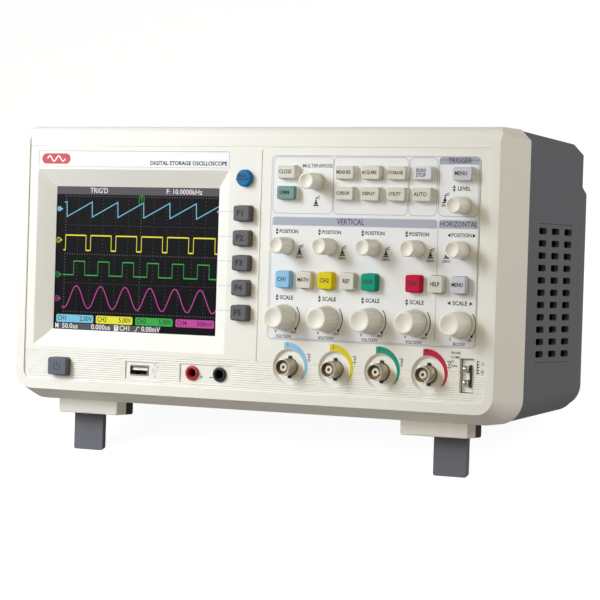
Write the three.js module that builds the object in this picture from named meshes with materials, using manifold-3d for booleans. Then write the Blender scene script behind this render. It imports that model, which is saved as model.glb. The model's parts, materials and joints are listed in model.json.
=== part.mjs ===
// A four-channel bench oscilloscope: a two-part moulded case on flip-out front legs, with its keys,
// knobs, connectors, display, circuit boards, fan and mains inlet as separate pieces.
// Millimetres. Every piece is drawn in the case's own frame: +X to the right of the front panel,
// +Y from the front panel to the back, +Z up the panel, with the panel's face at Y = 0 and the
// underside of the case at Z = 0. The last lines lean the whole object back onto its legs.
import * as THREE from "three";
import { mergeVertices } from "three/addons/utils/BufferGeometryUtils.js";
import Module from "manifold-3d";

const wasm = await Module();
wasm.setup();

// ---- driving dimensions ----
const GAP = 0.3; // between neighbouring pieces
const WALL = 2.6;
const CASE = { halfWidth: 165, height: 167, cornerRadius: 15, chamfer: 6.4 };
const FRONT = { y: -0.9, halfWidth: 162, bottom: 6.4, cornerRadius: 10.5, bevelDepth: 14.5 };
const PANEL = { halfWidth: 156.1, bottom: 12.6, cornerRadius: 5.5 };
const SEAM_Y = 33; // where the front bezel meets the rear housing
const REAR = { y: 109, inset: 0.5, fall: 3.5, rise: 5 };
const BUMP = { y: 118.5, top: 137.7, bottom: 6.5, inset: 2 };
const SCREEN = { x: -81.5, z: 86.8, width: 116.6, height: 87.4, depth: 6, slope: 10 };
const LCD_MODULE = { width: 128, height: 98, depth: 9 };
const OVERLAY = { x0: 15.6, x1: 150.2, z0: 43.1, z1: 150.2, thickness: 0.25 };
const COLUMN = { first: 27.2, pitch: 28.15 }; // channel columns, the last one horizontal
const KEY = { proud: 4.5, edge: 0.9, corner: 1.4, flange: 1.5, rear: 4.0, clearance: 0.4 };
const SMALL_KNOB = { proud: 13.2, frontRadius: 4.7, baseRadius: 5.1, sides: 16 };
const LARGE_KNOB = { proud: 13.8, frontRadius: 6.4, baseRadius: 7.7, sides: 20 };
const KNOB_GAP = 0.8; // from the panel to a knob's skirt
const SHAFT = { radius: 3, end: 6.2, hole: 3.8 };
const BNC = { first: 30.85, pitch: 30, z: 27.6, radius: 4.9, bore: 4.15, proud: 7.9, hole: 5.3 };
const BNC_POCKET = { radius: 10.3, depth: 1.7 };
const USB = { x: -72.5, z: 20.65, width: 13.1, height: 5.7 };
const JACKS = { x: -34.9, pitch: 19.05, z: 20.9, collar: 4.4, proud: 0.6, hole: 4.2 };
const RECESS = { depth: 0.8, bottom: 15.1, top: 26 }; // round the data port and round the jacks
const PROBE = { x: 145.2, z: 27.8, width: 8.6, height: 19.2, spacing: 7.8 };
const VENT = { y: 53.7, z: 40, dy: 17.8, dz: 7.04, length: 10.4, height: 3.8, columns: 3, rows: 11 };
const FOOT = { inner: 96.8, outer: 139.9, front: 14.5, split: 24.6, back: 33, height: 8.2 };
const LEG = { width: 21.4, inset: 5, thickness: 3.5, reach: 31.2, pivotZ: -4.3, barrel: 2.6 };
const PAD = { inner: 73, outer: 97, front: 94, edge: 104, back: 110.5, height: 5 };
const FAN = { x: 62, z: 70, size: 60, y0: 95, y1: 115.5, bore: 28.3 };
const INLET = { x: -104, z: 44, width: 27, height: 20, flangeWidth: 50, flangeHeight: 23 };

// ---- materials ----
const finish = (color, roughness = 0.55, metalness = 0) =>
  new THREE.MeshStandardMaterial({ color, roughness, metalness });
const CREAM = finish(0xe8e6dc);
const GREY = finish(0x5a5d62);
const LEG_GREY = finish(0x64666b, 0.6);
const LABEL = finish(0xdcdcdc, 0.5);
const KEY_CREAM = finish(0xd9d6c8, 0.5);
const KEY_DARK = finish(0x666a70, 0.5);
const KEY_LILAC = finish(0xb4b4be, 0.5);
const KEY_SAGE = finish(0x9aa79c, 0.5);
const BLUE = finish(0x1c6fb8, 0.45);
const SKY = finish(0x5fa8d8, 0.45);
const YELLOW = finish(0xe2c800, 0.45);
const GREEN = finish(0x0d9f80, 0.45);
const CRIMSON = finish(0xb81e46, 0.45);
const METAL = finish(0xc9c9c6, 0.25, 1);
const BOARD = finish(0x1f5a3c, 0.6);
const BLACK = finish(0x1b1b1d, 0.5);
const RED = finish(0xb52420, 0.4);
const SCREEN_FACE = finish(0x101214, 0.25);

// ---- shape helpers ----
function solid(geometry) {
  const bare = geometry.clone();
  bare.deleteAttribute("normal");
  bare.deleteAttribute("uv");
  const merged = mergeVertices(bare, 1e-4);
  const vertProperties = merged.attributes.position.array;
  const triVerts = new Uint32Array(merged.index.array);
  return new wasm.Manifold(new wasm.Mesh({ numProp: 3, vertProperties, triVerts }));
}

function geometryOf(manifold) {
  const { vertProperties, triVerts } = manifold.getMesh();
  const geometry = new THREE.BufferGeometry();
  geometry.setAttribute("position", new THREE.BufferAttribute(new Float32Array(vertProperties), 3));
  geometry.setIndex(new THREE.BufferAttribute(new Uint32Array(triVerts), 1));
  return geometry;
}

const join = (first, ...others) => others.reduce((sum, other) => sum.add(other), first);
const cut = (body, ...tools) => tools.reduce((rest, tool) => rest.subtract(tool), body);

function box([x0, x1], [y0, y1], [z0, z1]) {
  const block = new THREE.BoxGeometry(x1 - x0, y1 - y0, z1 - z0);
  return solid(block.translate((x0 + x1) / 2, (y0 + y1) / 2, (z0 + z1) / 2));
}

// A box given by its centre in the panel's plane.
function slab(x, z, width, height, y0, y1) {
  return box([x - width / 2, x + width / 2], [y0, y1], [z - height / 2, z + height / 2]);
}

// A disc or rod along Y.
function rod(x, z, radius, y0, y1, sides = 16) {
  const cylinder = new THREE.CylinderGeometry(radius, radius, y1 - y0, sides);
  return solid(cylinder.translate(x, (y0 + y1) / 2, z));
}

// A profile of [radius, y] pairs turned about Y, starting and ending on the axis.
function turned(profile, sides) {
  return new THREE.LatheGeometry(profile.map(([r, y]) => new THREE.Vector2(r, y)), sides);
}

// Joins rings of [x, y, z] points, all with the same count, into one closed body.
function loft(rings) {
  const count = rings[0].length;
  const index = [];
  const outline = rings[0].map(([x, , z]) => new THREE.Vector2(x, z));
  for (const [a, b, c] of THREE.ShapeUtils.triangulateShape(outline, [])) {
    index.push(a, b, c);
    const last = (rings.length - 1) * count;
    index.push(last + a, last + c, last + b);
  }
  for (let ring = 0; ring < rings.length - 1; ring++) {
    for (let i = 0; i < count; i++) {
      const a = ring * count + i;
      const b = ring * count + ((i + 1) % count);
      index.push(a, a + count, b, b, a + count, b + count);
    }
  }
  const geometry = new THREE.BufferGeometry();
  geometry.setAttribute("position", new THREE.Float32BufferAttribute(rings.flat(2), 3));
  geometry.setIndex(index);
  return geometry;
}

// The case's outline at depth y: round bottom corners and square top corners, anticlockwise
// from the front.
function caseRing(y, halfWidth, bottom, top, radius, steps = 4) {
  const ring = [];
  for (const side of [-1, 1]) {
    for (let i = 0; i <= steps; i++) {
      const angle = (side < 0 ? Math.PI : Math.PI * 1.5) + (i / steps) * (Math.PI / 2);
      const x = side * (halfWidth - radius) + radius * Math.cos(angle);
      ring.push([x, y, bottom + radius + radius * Math.sin(angle)]);
    }
  }
  ring.push([halfWidth, y, top], [-halfWidth, y, top]);
  return ring;
}

// A rectangle with cut corners at depth y, in the same order.
function keyRing(x, z, y, width, height, corner) {
  const w = width / 2;
  const h = height / 2;
  const c = corner;
  return [[-w, h - c], [-w, c - h], [c - w, -h], [w - c, -h], [w, c - h], [w, h - c],
    [w - c, h], [c - w, h]].map(([dx, dz]) => [x + dx, y, z + dz]);
}

// The two prisms that take the top corners off the case's outline, moved in by inset. The
// plane of each cut has fallen by fall where the prism ends.
function cornerPrisms(inset, y0, y1, fall = 0) {
  const { halfWidth, height, chamfer } = CASE;
  const reach = chamfer + inset * (2 - Math.SQRT2);
  return [-1, 1].map((side) => {
    const x = side * (halfWidth - inset);
    const outside = 6;
    const ring = (y, top) => {
      const points = [
        [x - side * (reach + outside), y, top + outside],
        [x + side * outside, y, top + outside],
        [x + side * outside, y, top - reach - outside],
      ];
      return side < 0 ? points : points.reverse();
    };
    return solid(loft([ring(y0, height - inset), ring(y1, height - inset - fall)]));
  });
}

// ---- the assembly ----
const scope = new THREE.Group();
function piece(name, shape, material) {
  const geometry = shape.isBufferGeometry ? shape : geometryOf(shape);
  const mesh = new THREE.Mesh(geometry, material);
  mesh.name = name;
  scope.add(mesh);
  return mesh;
}
const column = (i) => COLUMN.first + COLUMN.pitch * i;

// ---- keys: [name, x, z, width, height, material] ----
const SOFT = { x: -1.7, z: 115.8, pitch: 14.52, width: 11.1, height: 9 };
const FUNCTION = { width: 11.1, height: 7.9, upper: 140.3, lower: 128.3 };
const SQUARE = { width: 9.6, height: 9.8, z: 78.2, pitch: 14.08 };
const softKey = (i) => [`softkey_f${i + 1}`, SOFT.x, SOFT.z - SOFT.pitch * i,
  SOFT.width, SOFT.height, KEY_DARK];
const functionKey = (name, x, z, material = KEY_CREAM) => [name, x, z,
  FUNCTION.width, FUNCTION.height, material];
const squareKey = (name, step, material = KEY_CREAM) => [name,
  COLUMN.first + SQUARE.pitch * step, SQUARE.z, SQUARE.width, SQUARE.height, material];
const KEYS = [
  ["power_button", -129.1, 20.7, 13.6, 10.6, KEY_DARK],
  ...[0, 1, 2, 3, 4].map(softKey),
  functionKey("close_key", 27.3, FUNCTION.upper),
  functionKey("dmm_key", 27.3, FUNCTION.lower, KEY_SAGE),
  ...["measure_key", "acquire_key", "storage_key"].map((name, i) =>
    functionKey(name, 65.6 + 16.65 * i, FUNCTION.upper)),
  ...["cursor_key", "display_key", "utility_key"].map((name, i) =>
    functionKey(name, 65.6 + 16.65 * i, FUNCTION.lower)),
  functionKey("run_stop_key", 115.1, FUNCTION.upper, KEY_LILAC),
  functionKey("auto_key", 115.1, FUNCTION.lower),
  functionKey("trigger_menu_key", 140, FUNCTION.upper, KEY_LILAC),
  squareKey("ch1_key", 0, SKY),
  squareKey("math_key", 1),
  squareKey("ch2_key", 2, YELLOW),
  squareKey("ref_key", 3),
  squareKey("ch3_key", 4, GREEN),
  squareKey("ch4_key", 6, CRIMSON),
  squareKey("help_key", 7),
  squareKey("horizontal_menu_key", 8, KEY_LILAC),
];
const MENU_BUTTON = { x: -1.8, z: 136.4, radius: 4.9, proud: 3.3 };

for (const [name, x, z, width, height, material] of KEYS) {
  const ring = (y, grow) => keyRing(x, z, y, width + grow, height + grow, KEY.corner);
  const plate = WALL + GAP;
  piece(name, loft([ring(-KEY.proud, -KEY.edge), ring(KEY.edge - KEY.proud, 0), ring(plate, 0),
    ring(plate, KEY.flange * 2), ring(KEY.rear, KEY.flange * 2)]), material);
}
{
  const { x, z, radius, proud } = MENU_BUTTON;
  const plate = WALL + GAP;
  const profile = [[0, -proud], [radius - 0.8, -proud], [radius, 0.8 - proud], [radius, plate],
    [radius + 1.5, plate], [radius + 1.5, KEY.rear], [0, KEY.rear]];
  piece("menu_on_off_button", turned(profile, 16).translate(x, 0, z), BLUE);
}

// ---- knobs: [name, x, z, size] ----
const KNOBS = [
  ...[0, 1, 2, 3].map((i) => [`vertical_position_knob_${i + 1}`, column(i), 97.8, SMALL_KNOB]),
  ...[0, 1, 2, 3].map((i) => [`vertical_scale_knob_${i + 1}`, column(i), 56.3, LARGE_KNOB]),
  ["horizontal_position_knob", column(4), 97.8, SMALL_KNOB],
  ["horizontal_scale_knob", column(4), 56.3, LARGE_KNOB],
  ["trigger_level_knob", column(4), 122.6, SMALL_KNOB],
  ["multipurpose_knob", 46, 135, SMALL_KNOB],
];
for (const [name, x, z, size] of KNOBS) {
  const { proud, frontRadius, baseRadius, sides } = size;
  const profile = [[0, 0.7 - proud], [frontRadius - 1, -proud], [frontRadius, 0.8 - proud],
    [baseRadius, -KNOB_GAP - 1], [baseRadius, -KNOB_GAP], [SHAFT.radius, -KNOB_GAP],
    [SHAFT.radius, SHAFT.end], [0, SHAFT.end]];
  piece(name, turned(profile, sides).translate(x, 0, z), CREAM);
}

// ---- front bezel ----
function bezelShell() {
  const { bevelDepth } = FRONT;
  const blend = (y) => Math.min((y - FRONT.y) / (bevelDepth - FRONT.y), 1);
  const mix = (a, b, t) => a + (b - a) * t;
  const ring = (y, top, inset = 0) => caseRing(y, mix(FRONT.halfWidth, CASE.halfWidth, blend(y)) - inset,
    mix(FRONT.bottom, 0, blend(y)) + inset, top - inset,
    mix(FRONT.cornerRadius, CASE.cornerRadius, blend(y)) - inset);
  const outer = loft([ring(FRONT.y, 157), ring(2, 163), ring(5, 165.6), ring(10, CASE.height),
    ring(bevelDepth, CASE.height), ring(SEAM_Y, CASE.height)]);
  const cavity = loft([ring(WALL, 163, WALL), ring(10, CASE.height, WALL),
    ring(bevelDepth, CASE.height, WALL), ring(SEAM_Y + 1, CASE.height, WALL)]);
  const body = cut(solid(outer), ...cornerPrisms(0, -2, SEAM_Y + 1));
  return cut(body, cut(solid(cavity), ...cornerPrisms(WALL, 0, SEAM_Y + 2)));
}

function screenOpening() {
  const { x, z, width, height, depth, slope } = SCREEN;
  const ring = (y, grow) => keyRing(x, z, y, width + grow * 2, height + grow * 2, 0.5 + grow * 0.2);
  const outside = 1.2;
  const spread = slope * (1 + outside / depth);
  return join(solid(loft([ring(-outside, spread), ring(depth, 0)])),
    solid(loft([ring(depth - 0.1, 0), ring(depth + 3, 0)])));
}

function lcdPocket() {
  const { x, z, depth } = SCREEN;
  const { width, height } = LCD_MODULE;
  return slab(x, z, width + 2 * GAP, height + 2 * GAP, depth + GAP, 24);
}

function bezel() {
  const { x, z, width, height, slope } = SCREEN;
  const backing = 6;
  const body = join(bezelShell(),
    slab(x, z, width + 2 * (slope + 2), height + 2 * (slope + 2), 1, SCREEN.depth + 2),
    box([BNC.first - 13.5, BNC.first + 3 * BNC.pitch + 13.5], [1, backing], [15, 40.3]),
    ...[-1, 1].map((side) => box([side < 0 ? -FOOT.outer : FOOT.inner,
      side < 0 ? -FOOT.inner : FOOT.outer], [FOOT.front, FOOT.split], [-FOOT.height, 1.5])));
  const panel = solid(loft([-4, 0].map((y) =>
    caseRing(y, PANEL.halfWidth, PANEL.bottom, 175, PANEL.cornerRadius))));
  const through = [-2, backing + 1];
  const keyHoles = KEYS.map(([, kx, kz, w, h]) =>
    slab(kx, kz, w + 2 * KEY.clearance, h + 2 * KEY.clearance, ...through));
  const shaftHoles = KNOBS.map(([, kx, kz]) => rod(kx, kz, SHAFT.hole, ...through, 8));
  const recesses = [[-82.2, -57.2], [-43.5, -7.4]].map((span) =>
    box(span, [-2, RECESS.depth], [RECESS.bottom, RECESS.top]));
  const bncHoles = [0, 1, 2, 3].flatMap((i) => [
    rod(BNC.first + BNC.pitch * i, BNC.z, BNC_POCKET.radius, -2, BNC_POCKET.depth, 24),
    rod(BNC.first + BNC.pitch * i, BNC.z, BNC.hole, ...through, 16),
  ]);
  const jackHoles = [0, 1].map((i) =>
    rod(JACKS.x + JACKS.pitch * i, JACKS.z, JACKS.hole, ...through, 16));
  return cut(body, panel, screenOpening(), lcdPocket(), ...keyHoles, ...shaftHoles, ...bncHoles,
    ...recesses, ...jackHoles, rod(MENU_BUTTON.x, MENU_BUTTON.z, MENU_BUTTON.radius + KEY.clearance, ...through, 16),
    slab(USB.x, USB.z, USB.width + 0.6, USB.height + 0.6, ...through),
    slab(PROBE.x, PROBE.z, PROBE.width, PROBE.height, ...through));
}
piece("front_bezel", bezel(), CREAM);

// ---- printed control label on the bezel ----
function controlOverlay() {
  const { x0, x1, z0, z1, thickness } = OVERLAY;
  const back = -0.05;
  const sheet = box([x0, x1], [back - thickness, back], [z0, z1]);
  const deep = [back - thickness - 1, 1];
  const onSheet = ([, x]) => x > x0;
  return cut(sheet,
    ...KEYS.filter(onSheet).map(([, x, z, w, h]) =>
      slab(x, z, w + 2 * KEY.clearance, h + 2 * KEY.clearance, ...deep)),
    ...KNOBS.map(([, x, z]) => rod(x, z, SHAFT.hole, ...deep, 8)));
}
piece("control_overlay", controlOverlay(), LABEL);

// ---- rear housing ----
function rearHousing() {
  const { halfWidth, height, cornerRadius } = CASE;
  const start = SEAM_Y + 0.4;
  // The roof and the floor close in towards the back.
  const along = (y) => Math.max((y - start) / (REAR.y - start), 0);
  const ring = (y, inset) => caseRing(y, halfWidth - inset, inset + REAR.rise * along(y),
    height - inset - REAR.fall * along(y), cornerRadius - inset);
  const bumpRing = (y, inset, top, bottom) =>
    caseRing(y, halfWidth - inset, bottom, top, cornerRadius - inset);
  const inner = REAR.inset + WALL;
  const lip = { y: SEAM_Y - 3.5, out: WALL + GAP, in: WALL + GAP + 1.6 };
  const main = cut(solid(loft([ring(start, REAR.inset), ring(REAR.y, REAR.inset)])),
    ...cornerPrisms(REAR.inset, start - 1, REAR.y + 1, REAR.fall));
  const collar = cut(solid(loft([ring(lip.y, lip.out), ring(start + 4, lip.out)])),
    ...cornerPrisms(lip.out, lip.y - 1, start + 5));
  const bump = solid(loft([bumpRing(REAR.y - 5, REAR.inset, BUMP.top, BUMP.bottom),
    bumpRing(REAR.y, REAR.inset, BUMP.top, BUMP.bottom),
    bumpRing(BUMP.y, BUMP.inset, BUMP.top - 3.7, BUMP.bottom + 1.5)]));
  const mainCavity = cut(solid(loft([ring(start + 4, inner), ring(REAR.y - WALL, inner)])),
    ...cornerPrisms(inner, start, REAR.y, REAR.fall));
  const mouth = cut(solid(loft([ring(lip.y - 1, lip.in), ring(start + 5, lip.in)])),
    ...cornerPrisms(lip.in, lip.y - 2, start + 6));
  const bumpCavity = solid(loft([bumpRing(REAR.y - 6, inner + 2, BUMP.top - 5, 11),
    bumpRing(BUMP.y - WALL, inner + 2, BUMP.top - 5, 11)]));
  const pads = [-1, 1].map((side) => {
    const { inner: a, outer: b, front, edge, back, height: drop } = PAD;
    const ends = side < 0 ? [-b, -a] : [a, b];
    const slope = (back - edge) * Math.tan(TILT);
    const profile = [[front, 7], [front, -drop], [edge, -drop], [back, slope - drop], [back, 7]];
    const shape = new THREE.Shape(profile.map(([y, z]) => new THREE.Vector2(y, z)));
    const block = new THREE.ExtrudeGeometry(shape, { depth: ends[1] - ends[0], bevelEnabled: false });
    return solid(block.rotateX(Math.PI / 2).rotateZ(Math.PI / 2).translate(ends[0], 0, 0));
  });
  const vents = [];
  for (const side of [-1, 1]) {
    for (let row = 0; row < VENT.rows; row++) {
      for (let col = 0; col < VENT.columns; col++) {
        const y = VENT.y + VENT.dy * col;
        const z = VENT.z + VENT.dz * row;
        const x = side * (halfWidth - 1);
        vents.push(box([x - 6, x + 6], [y - VENT.length / 2, y + VENT.length / 2],
          [z - VENT.height / 2, z + VENT.height / 2]));
      }
    }
  }
  const grille = [-3, -2, -1, 0, 1, 2, 3].map((i) => {
    const z = FAN.z + i * 7.2;
    const half = Math.sqrt(FAN.bore ** 2 - (i * 7.2) ** 2);
    return box([FAN.x - half, FAN.x + half], [BUMP.y - 4, BUMP.y + 2], [z - 2, z + 2]);
  });
  const socket = slab(INLET.x, INLET.z, INLET.width + 1, INLET.height + 1, BUMP.y - 6, BUMP.y + 2);
  return cut(join(main, collar, bump, ...pads), mainCavity, mouth, bumpCavity, ...vents, ...grille, socket);
}

// ---- legs and feet ----
// With the legs out, the soles and the rear pads share one plane: its slope is the lean.
const SOLE = { y: FOOT.split + GAP, z: -LEG.reach };
const TILT = Math.atan((LEG.reach - PAD.height) / (PAD.edge - SOLE.y));
const LEG_PIVOT_Y = SOLE.y + LEG.thickness / 2;
const PIN = { radius: 1.3, hole: 1.6, length: 2.5 };
piece("rear_housing", rearHousing(), GREY);

function rodX(x0, x1, y, z, radius, sides = 16) {
  const cylinder = new THREE.CylinderGeometry(radius, radius, x1 - x0, sides);
  return solid(cylinder.rotateZ(Math.PI / 2).translate((x0 + x1) / 2, y, z));
}

function leg(x0, x1) {
  const { thickness, reach, pivotZ, barrel } = LEG;
  const { y } = SOLE;
  const rise = thickness * Math.tan(TILT);
  const profile = [[y, pivotZ], [y, -reach], [y + thickness, rise - reach], [y + thickness, pivotZ]];
  const shape = new THREE.Shape(profile.map(([py, pz]) => new THREE.Vector2(py, pz)));
  const blade = new THREE.ExtrudeGeometry(shape, { depth: x1 - x0, bevelEnabled: false });
  blade.rotateX(Math.PI / 2).rotateZ(Math.PI / 2).translate(x0, 0, 0);
  return join(solid(blade), rodX(x0, x1, LEG_PIVOT_Y, pivotZ, thickness / 2, 12),
    rodX(x0 - PIN.length, x1 + PIN.length, LEG_PIVOT_Y, pivotZ, PIN.radius, 12));
}

function footBracket(side, legX) {
  const [x0, x1] = side < 0 ? [-FOOT.outer, -FOOT.inner] : [FOOT.inner, FOOT.outer];
  const block = box([x0, x1], [FOOT.split + GAP, FOOT.back], [-FOOT.height, -GAP]);
  const slot = box([legX[0] - GAP * 2, legX[1] + GAP * 2], [FOOT.split - 1, FOOT.back + 1],
    [-FOOT.height - 1, LEG.pivotZ + LEG.barrel]);
  const bore = rodX(legX[0] - PIN.length - 1, legX[1] + PIN.length + 1, LEG_PIVOT_Y, LEG.pivotZ,
    PIN.hole, 12);
  return cut(block, slot, bore);
}

for (const [side, name] of [[-1, "left"], [1, "right"]]) {
  const far = side * (FOOT.outer - LEG.inset);
  const near = far - side * LEG.width;
  const span = [Math.min(far, near), Math.max(far, near)];
  piece(`foot_bracket_${name}`, footBracket(side, span), BLACK);
  piece(`leg_${name}`, leg(...span), LEG_GREY);
}

// ---- display ----
function lcdModule() {
  const { x, z, depth } = SCREEN;
  const { width, height, depth: thick } = LCD_MODULE;
  const front = depth + 2 * GAP;
  return join(slab(x, z, width, height, front + 0.6, front + thick),
    slab(x, z, SCREEN.width + 6, SCREEN.height + 6, front, front + 1));
}
piece("lcd_module", lcdModule(), SCREEN_FACE);

// ---- circuit boards ----
function keyBoard() {
  const y = 9;
  const thick = 1.6;
  const switchFront = KEY.rear + 1.4;
  const sheets = [
    box([-10, 152], [y, y + thick], [43, 152]),
    box([-140, -6], [y, y + thick], [29.5, 36.5]),
    box([-140, -118], [y, y + thick], [14, 31]),
    box([-12, -6], [y, y + thick], [29.5, 50]),
  ];
  const switches = [...KEYS.map(([, x, z]) => [x, z]), [MENU_BUTTON.x, MENU_BUTTON.z]].map(
    ([x, z]) => slab(x, z, 6, 6, switchFront, y + 0.5));
  const encoders = KNOBS.map(([, x, z]) => slab(x, z, 12, 12, 4.5, y + 0.5));
  const bores = KNOBS.map(([, x, z]) => rod(x, z, SHAFT.radius + GAP, 3, SHAFT.end + GAP, 8));
  return cut(join(...sheets, ...switches, ...encoders), ...bores);
}
piece("key_board", keyBoard(), BOARD);

function mainBoard() {
  const y = 27;
  return join(box([-62, 152], [y, y + 1.6], [14, 150]),
    box([16, 136], [y + 1, y + 13], [16, 62]),
    box([-40, 10], [y + 1, y + 5], [80, 130]),
    box([30, 70], [y + 1, y + 4], [84, 124]),
    box([90, 120], [y + 1, y + 4], [90, 120]));
}
piece("main_board", mainBoard(), BOARD);

function powerSupply() {
  const [y0, y1] = [70, 96];
  return join(box([-150, -50], [y0, y0 + 1.6], [58, 128]),
    box([-146, -112], [y0 + 1, y1], [64, 96]),
    box([-104, -88], [y0 + 1, y1 - 4], [64, 116]),
    box([-80, -58], [y0 + 1, y1 - 8], [66, 88]),
    box([-78, -60], [y0 + 1, y1 - 6], [94, 120]));
}
piece("power_supply", powerSupply(), BOARD);

// ---- cooling fan ----
function fanFrame() {
  const { x, z, size, y0, y1, bore } = FAN;
  const tube = cut(slab(x, z, size, size, y0, y1), rod(x, z, bore, y0 - 1, y1 + 1, 24));
  return join(tube, slab(x, z, size - 1, 4, y1 - 2, y1), slab(x, z, 4, size - 1, y1 - 2, y1),
    rod(x, z, 13, y1 - 2.5, y1, 16));
}
piece("fan_frame", fanFrame(), BLACK);

function fanRotor() {
  const { y0, y1, bore } = FAN;
  const blades = [0, 1, 2, 3, 4, 5, 6].map((i) => {
    const blade = new THREE.BoxGeometry(bore - 13, 1.2, 11);
    blade.rotateX(0.7).translate(12 + (bore - 13) / 2, 0, 0).rotateY((i / 7) * Math.PI * 2);
    return solid(blade.translate(0, (y0 + y1) / 2 - 1, 0));
  });
  return join(rod(0, 0, 14, y0 + 2, y1 - 4, 20), ...blades);
}
piece("fan_rotor", geometryOf(fanRotor()).translate(FAN.x, 0, FAN.z), BLACK);

// ---- mains inlet ----
function mainsInlet() {
  const { x, z, width, height, flangeWidth, flangeHeight } = INLET;
  const face = BUMP.y + GAP;
  const back = face - 18;
  const body = join(slab(x, z, width, height, back, face + 1),
    slab(x, z, flangeWidth, flangeHeight, face, face + 2.5));
  const recess = slab(x, z, width - 3, height - 3, face - 14, face + 4);
  const pins = [[-7, -2.2], [0, 2.2], [7, -2.2]].map(([dx, dz]) =>
    slab(x + dx, z + dz, 2, 4, face - 15, face - 9));
  return join(cut(body, recess), ...pins);
}
piece("mains_inlet", mainsInlet(), BLACK);

// ---- connectors ----
function bnc() {
  const { radius, bore, proud } = BNC;
  const insulator = { radius: 2.3, front: 1.6 - proud, back: -2 };
  const profile = [[0, insulator.front], [insulator.radius, insulator.front],
    [insulator.radius, insulator.back], [bore, insulator.back], [bore, -proud], [radius, -proud],
    [radius, 14], [0, 14]];
  const barrel = solid(turned(profile, 20));
  const lug = new THREE.CylinderGeometry(0.95, 0.95, 1.4, 8);
  const lugs = [-1, 1].map((side) => {
    const stud = lug.clone().rotateX(Math.PI / 2).translate(0, 4.4 - proud, side * radius);
    return solid(stud);
  });
  return join(barrel, ...lugs, slab(0, 0, 14, 14, 7, 24));
}
for (let i = 0; i < 4; i++) {
  const shape = geometryOf(bnc()).translate(BNC.first + BNC.pitch * i, 0, BNC.z);
  piece(`bnc_connector_${i + 1}`, shape, METAL);
}

function usbPort() {
  const { x, z, width, height } = USB;
  return cut(slab(x, z, width, height, -0.2, 14), slab(x, z, width - 1, height - 1, -1, 12));
}
piece("usb_port", usbPort(), METAL);

function jack() {
  const { collar, proud, hole } = JACKS;
  const barrel = hole - 0.35;
  const seat = RECESS.depth - GAP;
  return turned([[0, 11], [2, 11], [2, -proud], [collar - 0.5, -proud], [collar, 0.5 - proud],
    [collar, seat], [barrel, seat], [barrel, WALL + GAP], [6.2, WALL + GAP], [6.2, 6], [barrel, 6],
    [barrel, 14], [0, 14]], 16);
}
piece("output_jack_red", jack().translate(JACKS.x, 0, JACKS.z), RED);
piece("output_jack_black", jack().translate(JACKS.x + JACKS.pitch, 0, JACKS.z), BLACK);

function probeTerminals() {
  const { x, z, width, height, spacing } = PROBE;
  const base = slab(x, z, width - 0.6, height - 0.6, 4, 8);
  const posts = [-1, 1].flatMap((side) => {
    const postZ = z + (side * spacing) / 2;
    const head = new THREE.SphereGeometry(2, 10, 6).translate(x, -0.6, postZ);
    return [rod(x, postZ, 1, -1, 5, 8), solid(head)];
  });
  return join(base, ...posts);
}
piece("probe_terminals", probeTerminals(), METAL);

// ---- lean the case back onto its legs, standing on Z = 0 about the middle of its outline ----
scope.rotation.x = -TILT;
const object = new THREE.Group();
object.add(scope);
const extent = new THREE.Box3().setFromObject(object, true);
const centre = extent.getCenter(new THREE.Vector3());
scope.position.set(-centre.x, -centre.y, -extent.min.z);

export default object;
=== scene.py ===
"""A four-channel bench oscilloscope, finished round its fixed frame.

Every piece is drawn in the case's own frame, in millimetres: +X to the right of the front panel,
+Y from the panel's face to the back, +Z up the panel from the underside of the case. PLACE then
leans it back onto its legs and takes it to the frame's metres.
"""

import json
import math

import bmesh
import bpy
from bpy.props import FloatProperty, FloatVectorProperty, PointerProperty
from mathutils import Matrix, Vector


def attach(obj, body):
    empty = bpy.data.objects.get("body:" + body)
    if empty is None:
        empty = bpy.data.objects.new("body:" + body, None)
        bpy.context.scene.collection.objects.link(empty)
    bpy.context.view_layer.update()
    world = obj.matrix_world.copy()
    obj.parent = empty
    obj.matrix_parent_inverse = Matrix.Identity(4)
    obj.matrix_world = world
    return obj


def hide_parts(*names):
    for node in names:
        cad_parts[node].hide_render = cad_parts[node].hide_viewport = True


bl_info = {
    "name": "Bench Oscilloscope",
    "version": (1, 0, 0),
    "blender": (4, 5, 0),
    "location": "View3D > Sidebar > Oscilloscope",
    "description": "Builds the finished pieces of a four-channel bench oscilloscope",
    "category": "Add Mesh",
}

# ---- the frame and the case's own coordinates ----
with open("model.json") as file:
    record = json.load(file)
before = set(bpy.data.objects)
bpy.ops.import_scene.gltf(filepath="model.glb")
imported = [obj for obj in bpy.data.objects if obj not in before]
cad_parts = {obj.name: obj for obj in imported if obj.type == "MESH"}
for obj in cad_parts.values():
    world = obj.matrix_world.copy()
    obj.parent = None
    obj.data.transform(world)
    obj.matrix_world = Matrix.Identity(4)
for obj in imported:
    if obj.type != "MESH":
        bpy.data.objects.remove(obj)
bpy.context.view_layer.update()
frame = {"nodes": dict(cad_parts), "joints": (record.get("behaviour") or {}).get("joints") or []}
MM = 0.001
JOINTS = {joint["name"]: joint for joint in frame["joints"]}
PRESS = Vector(JOINTS["power_button_press"]["axis"])
LEAN = math.atan2(-PRESS.z, PRESS.y)
TURN = Matrix.Rotation(-LEAN, 4, "X")
CASE_HEIGHT = 167.0
RIM_PROUD = 0.9


def upright_box(node):
    """The node's lowest and highest corner with the lean taken out, in millimetres."""
    back = TURN.inverted() @ Matrix.Scale(1 / MM, 4)
    points = [back @ vertex.co for vertex in frame["nodes"][node].data.vertices]
    return [Vector(pick(p[axis] for p in points) for axis in range(3)) for pick in (min, max)]


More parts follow.
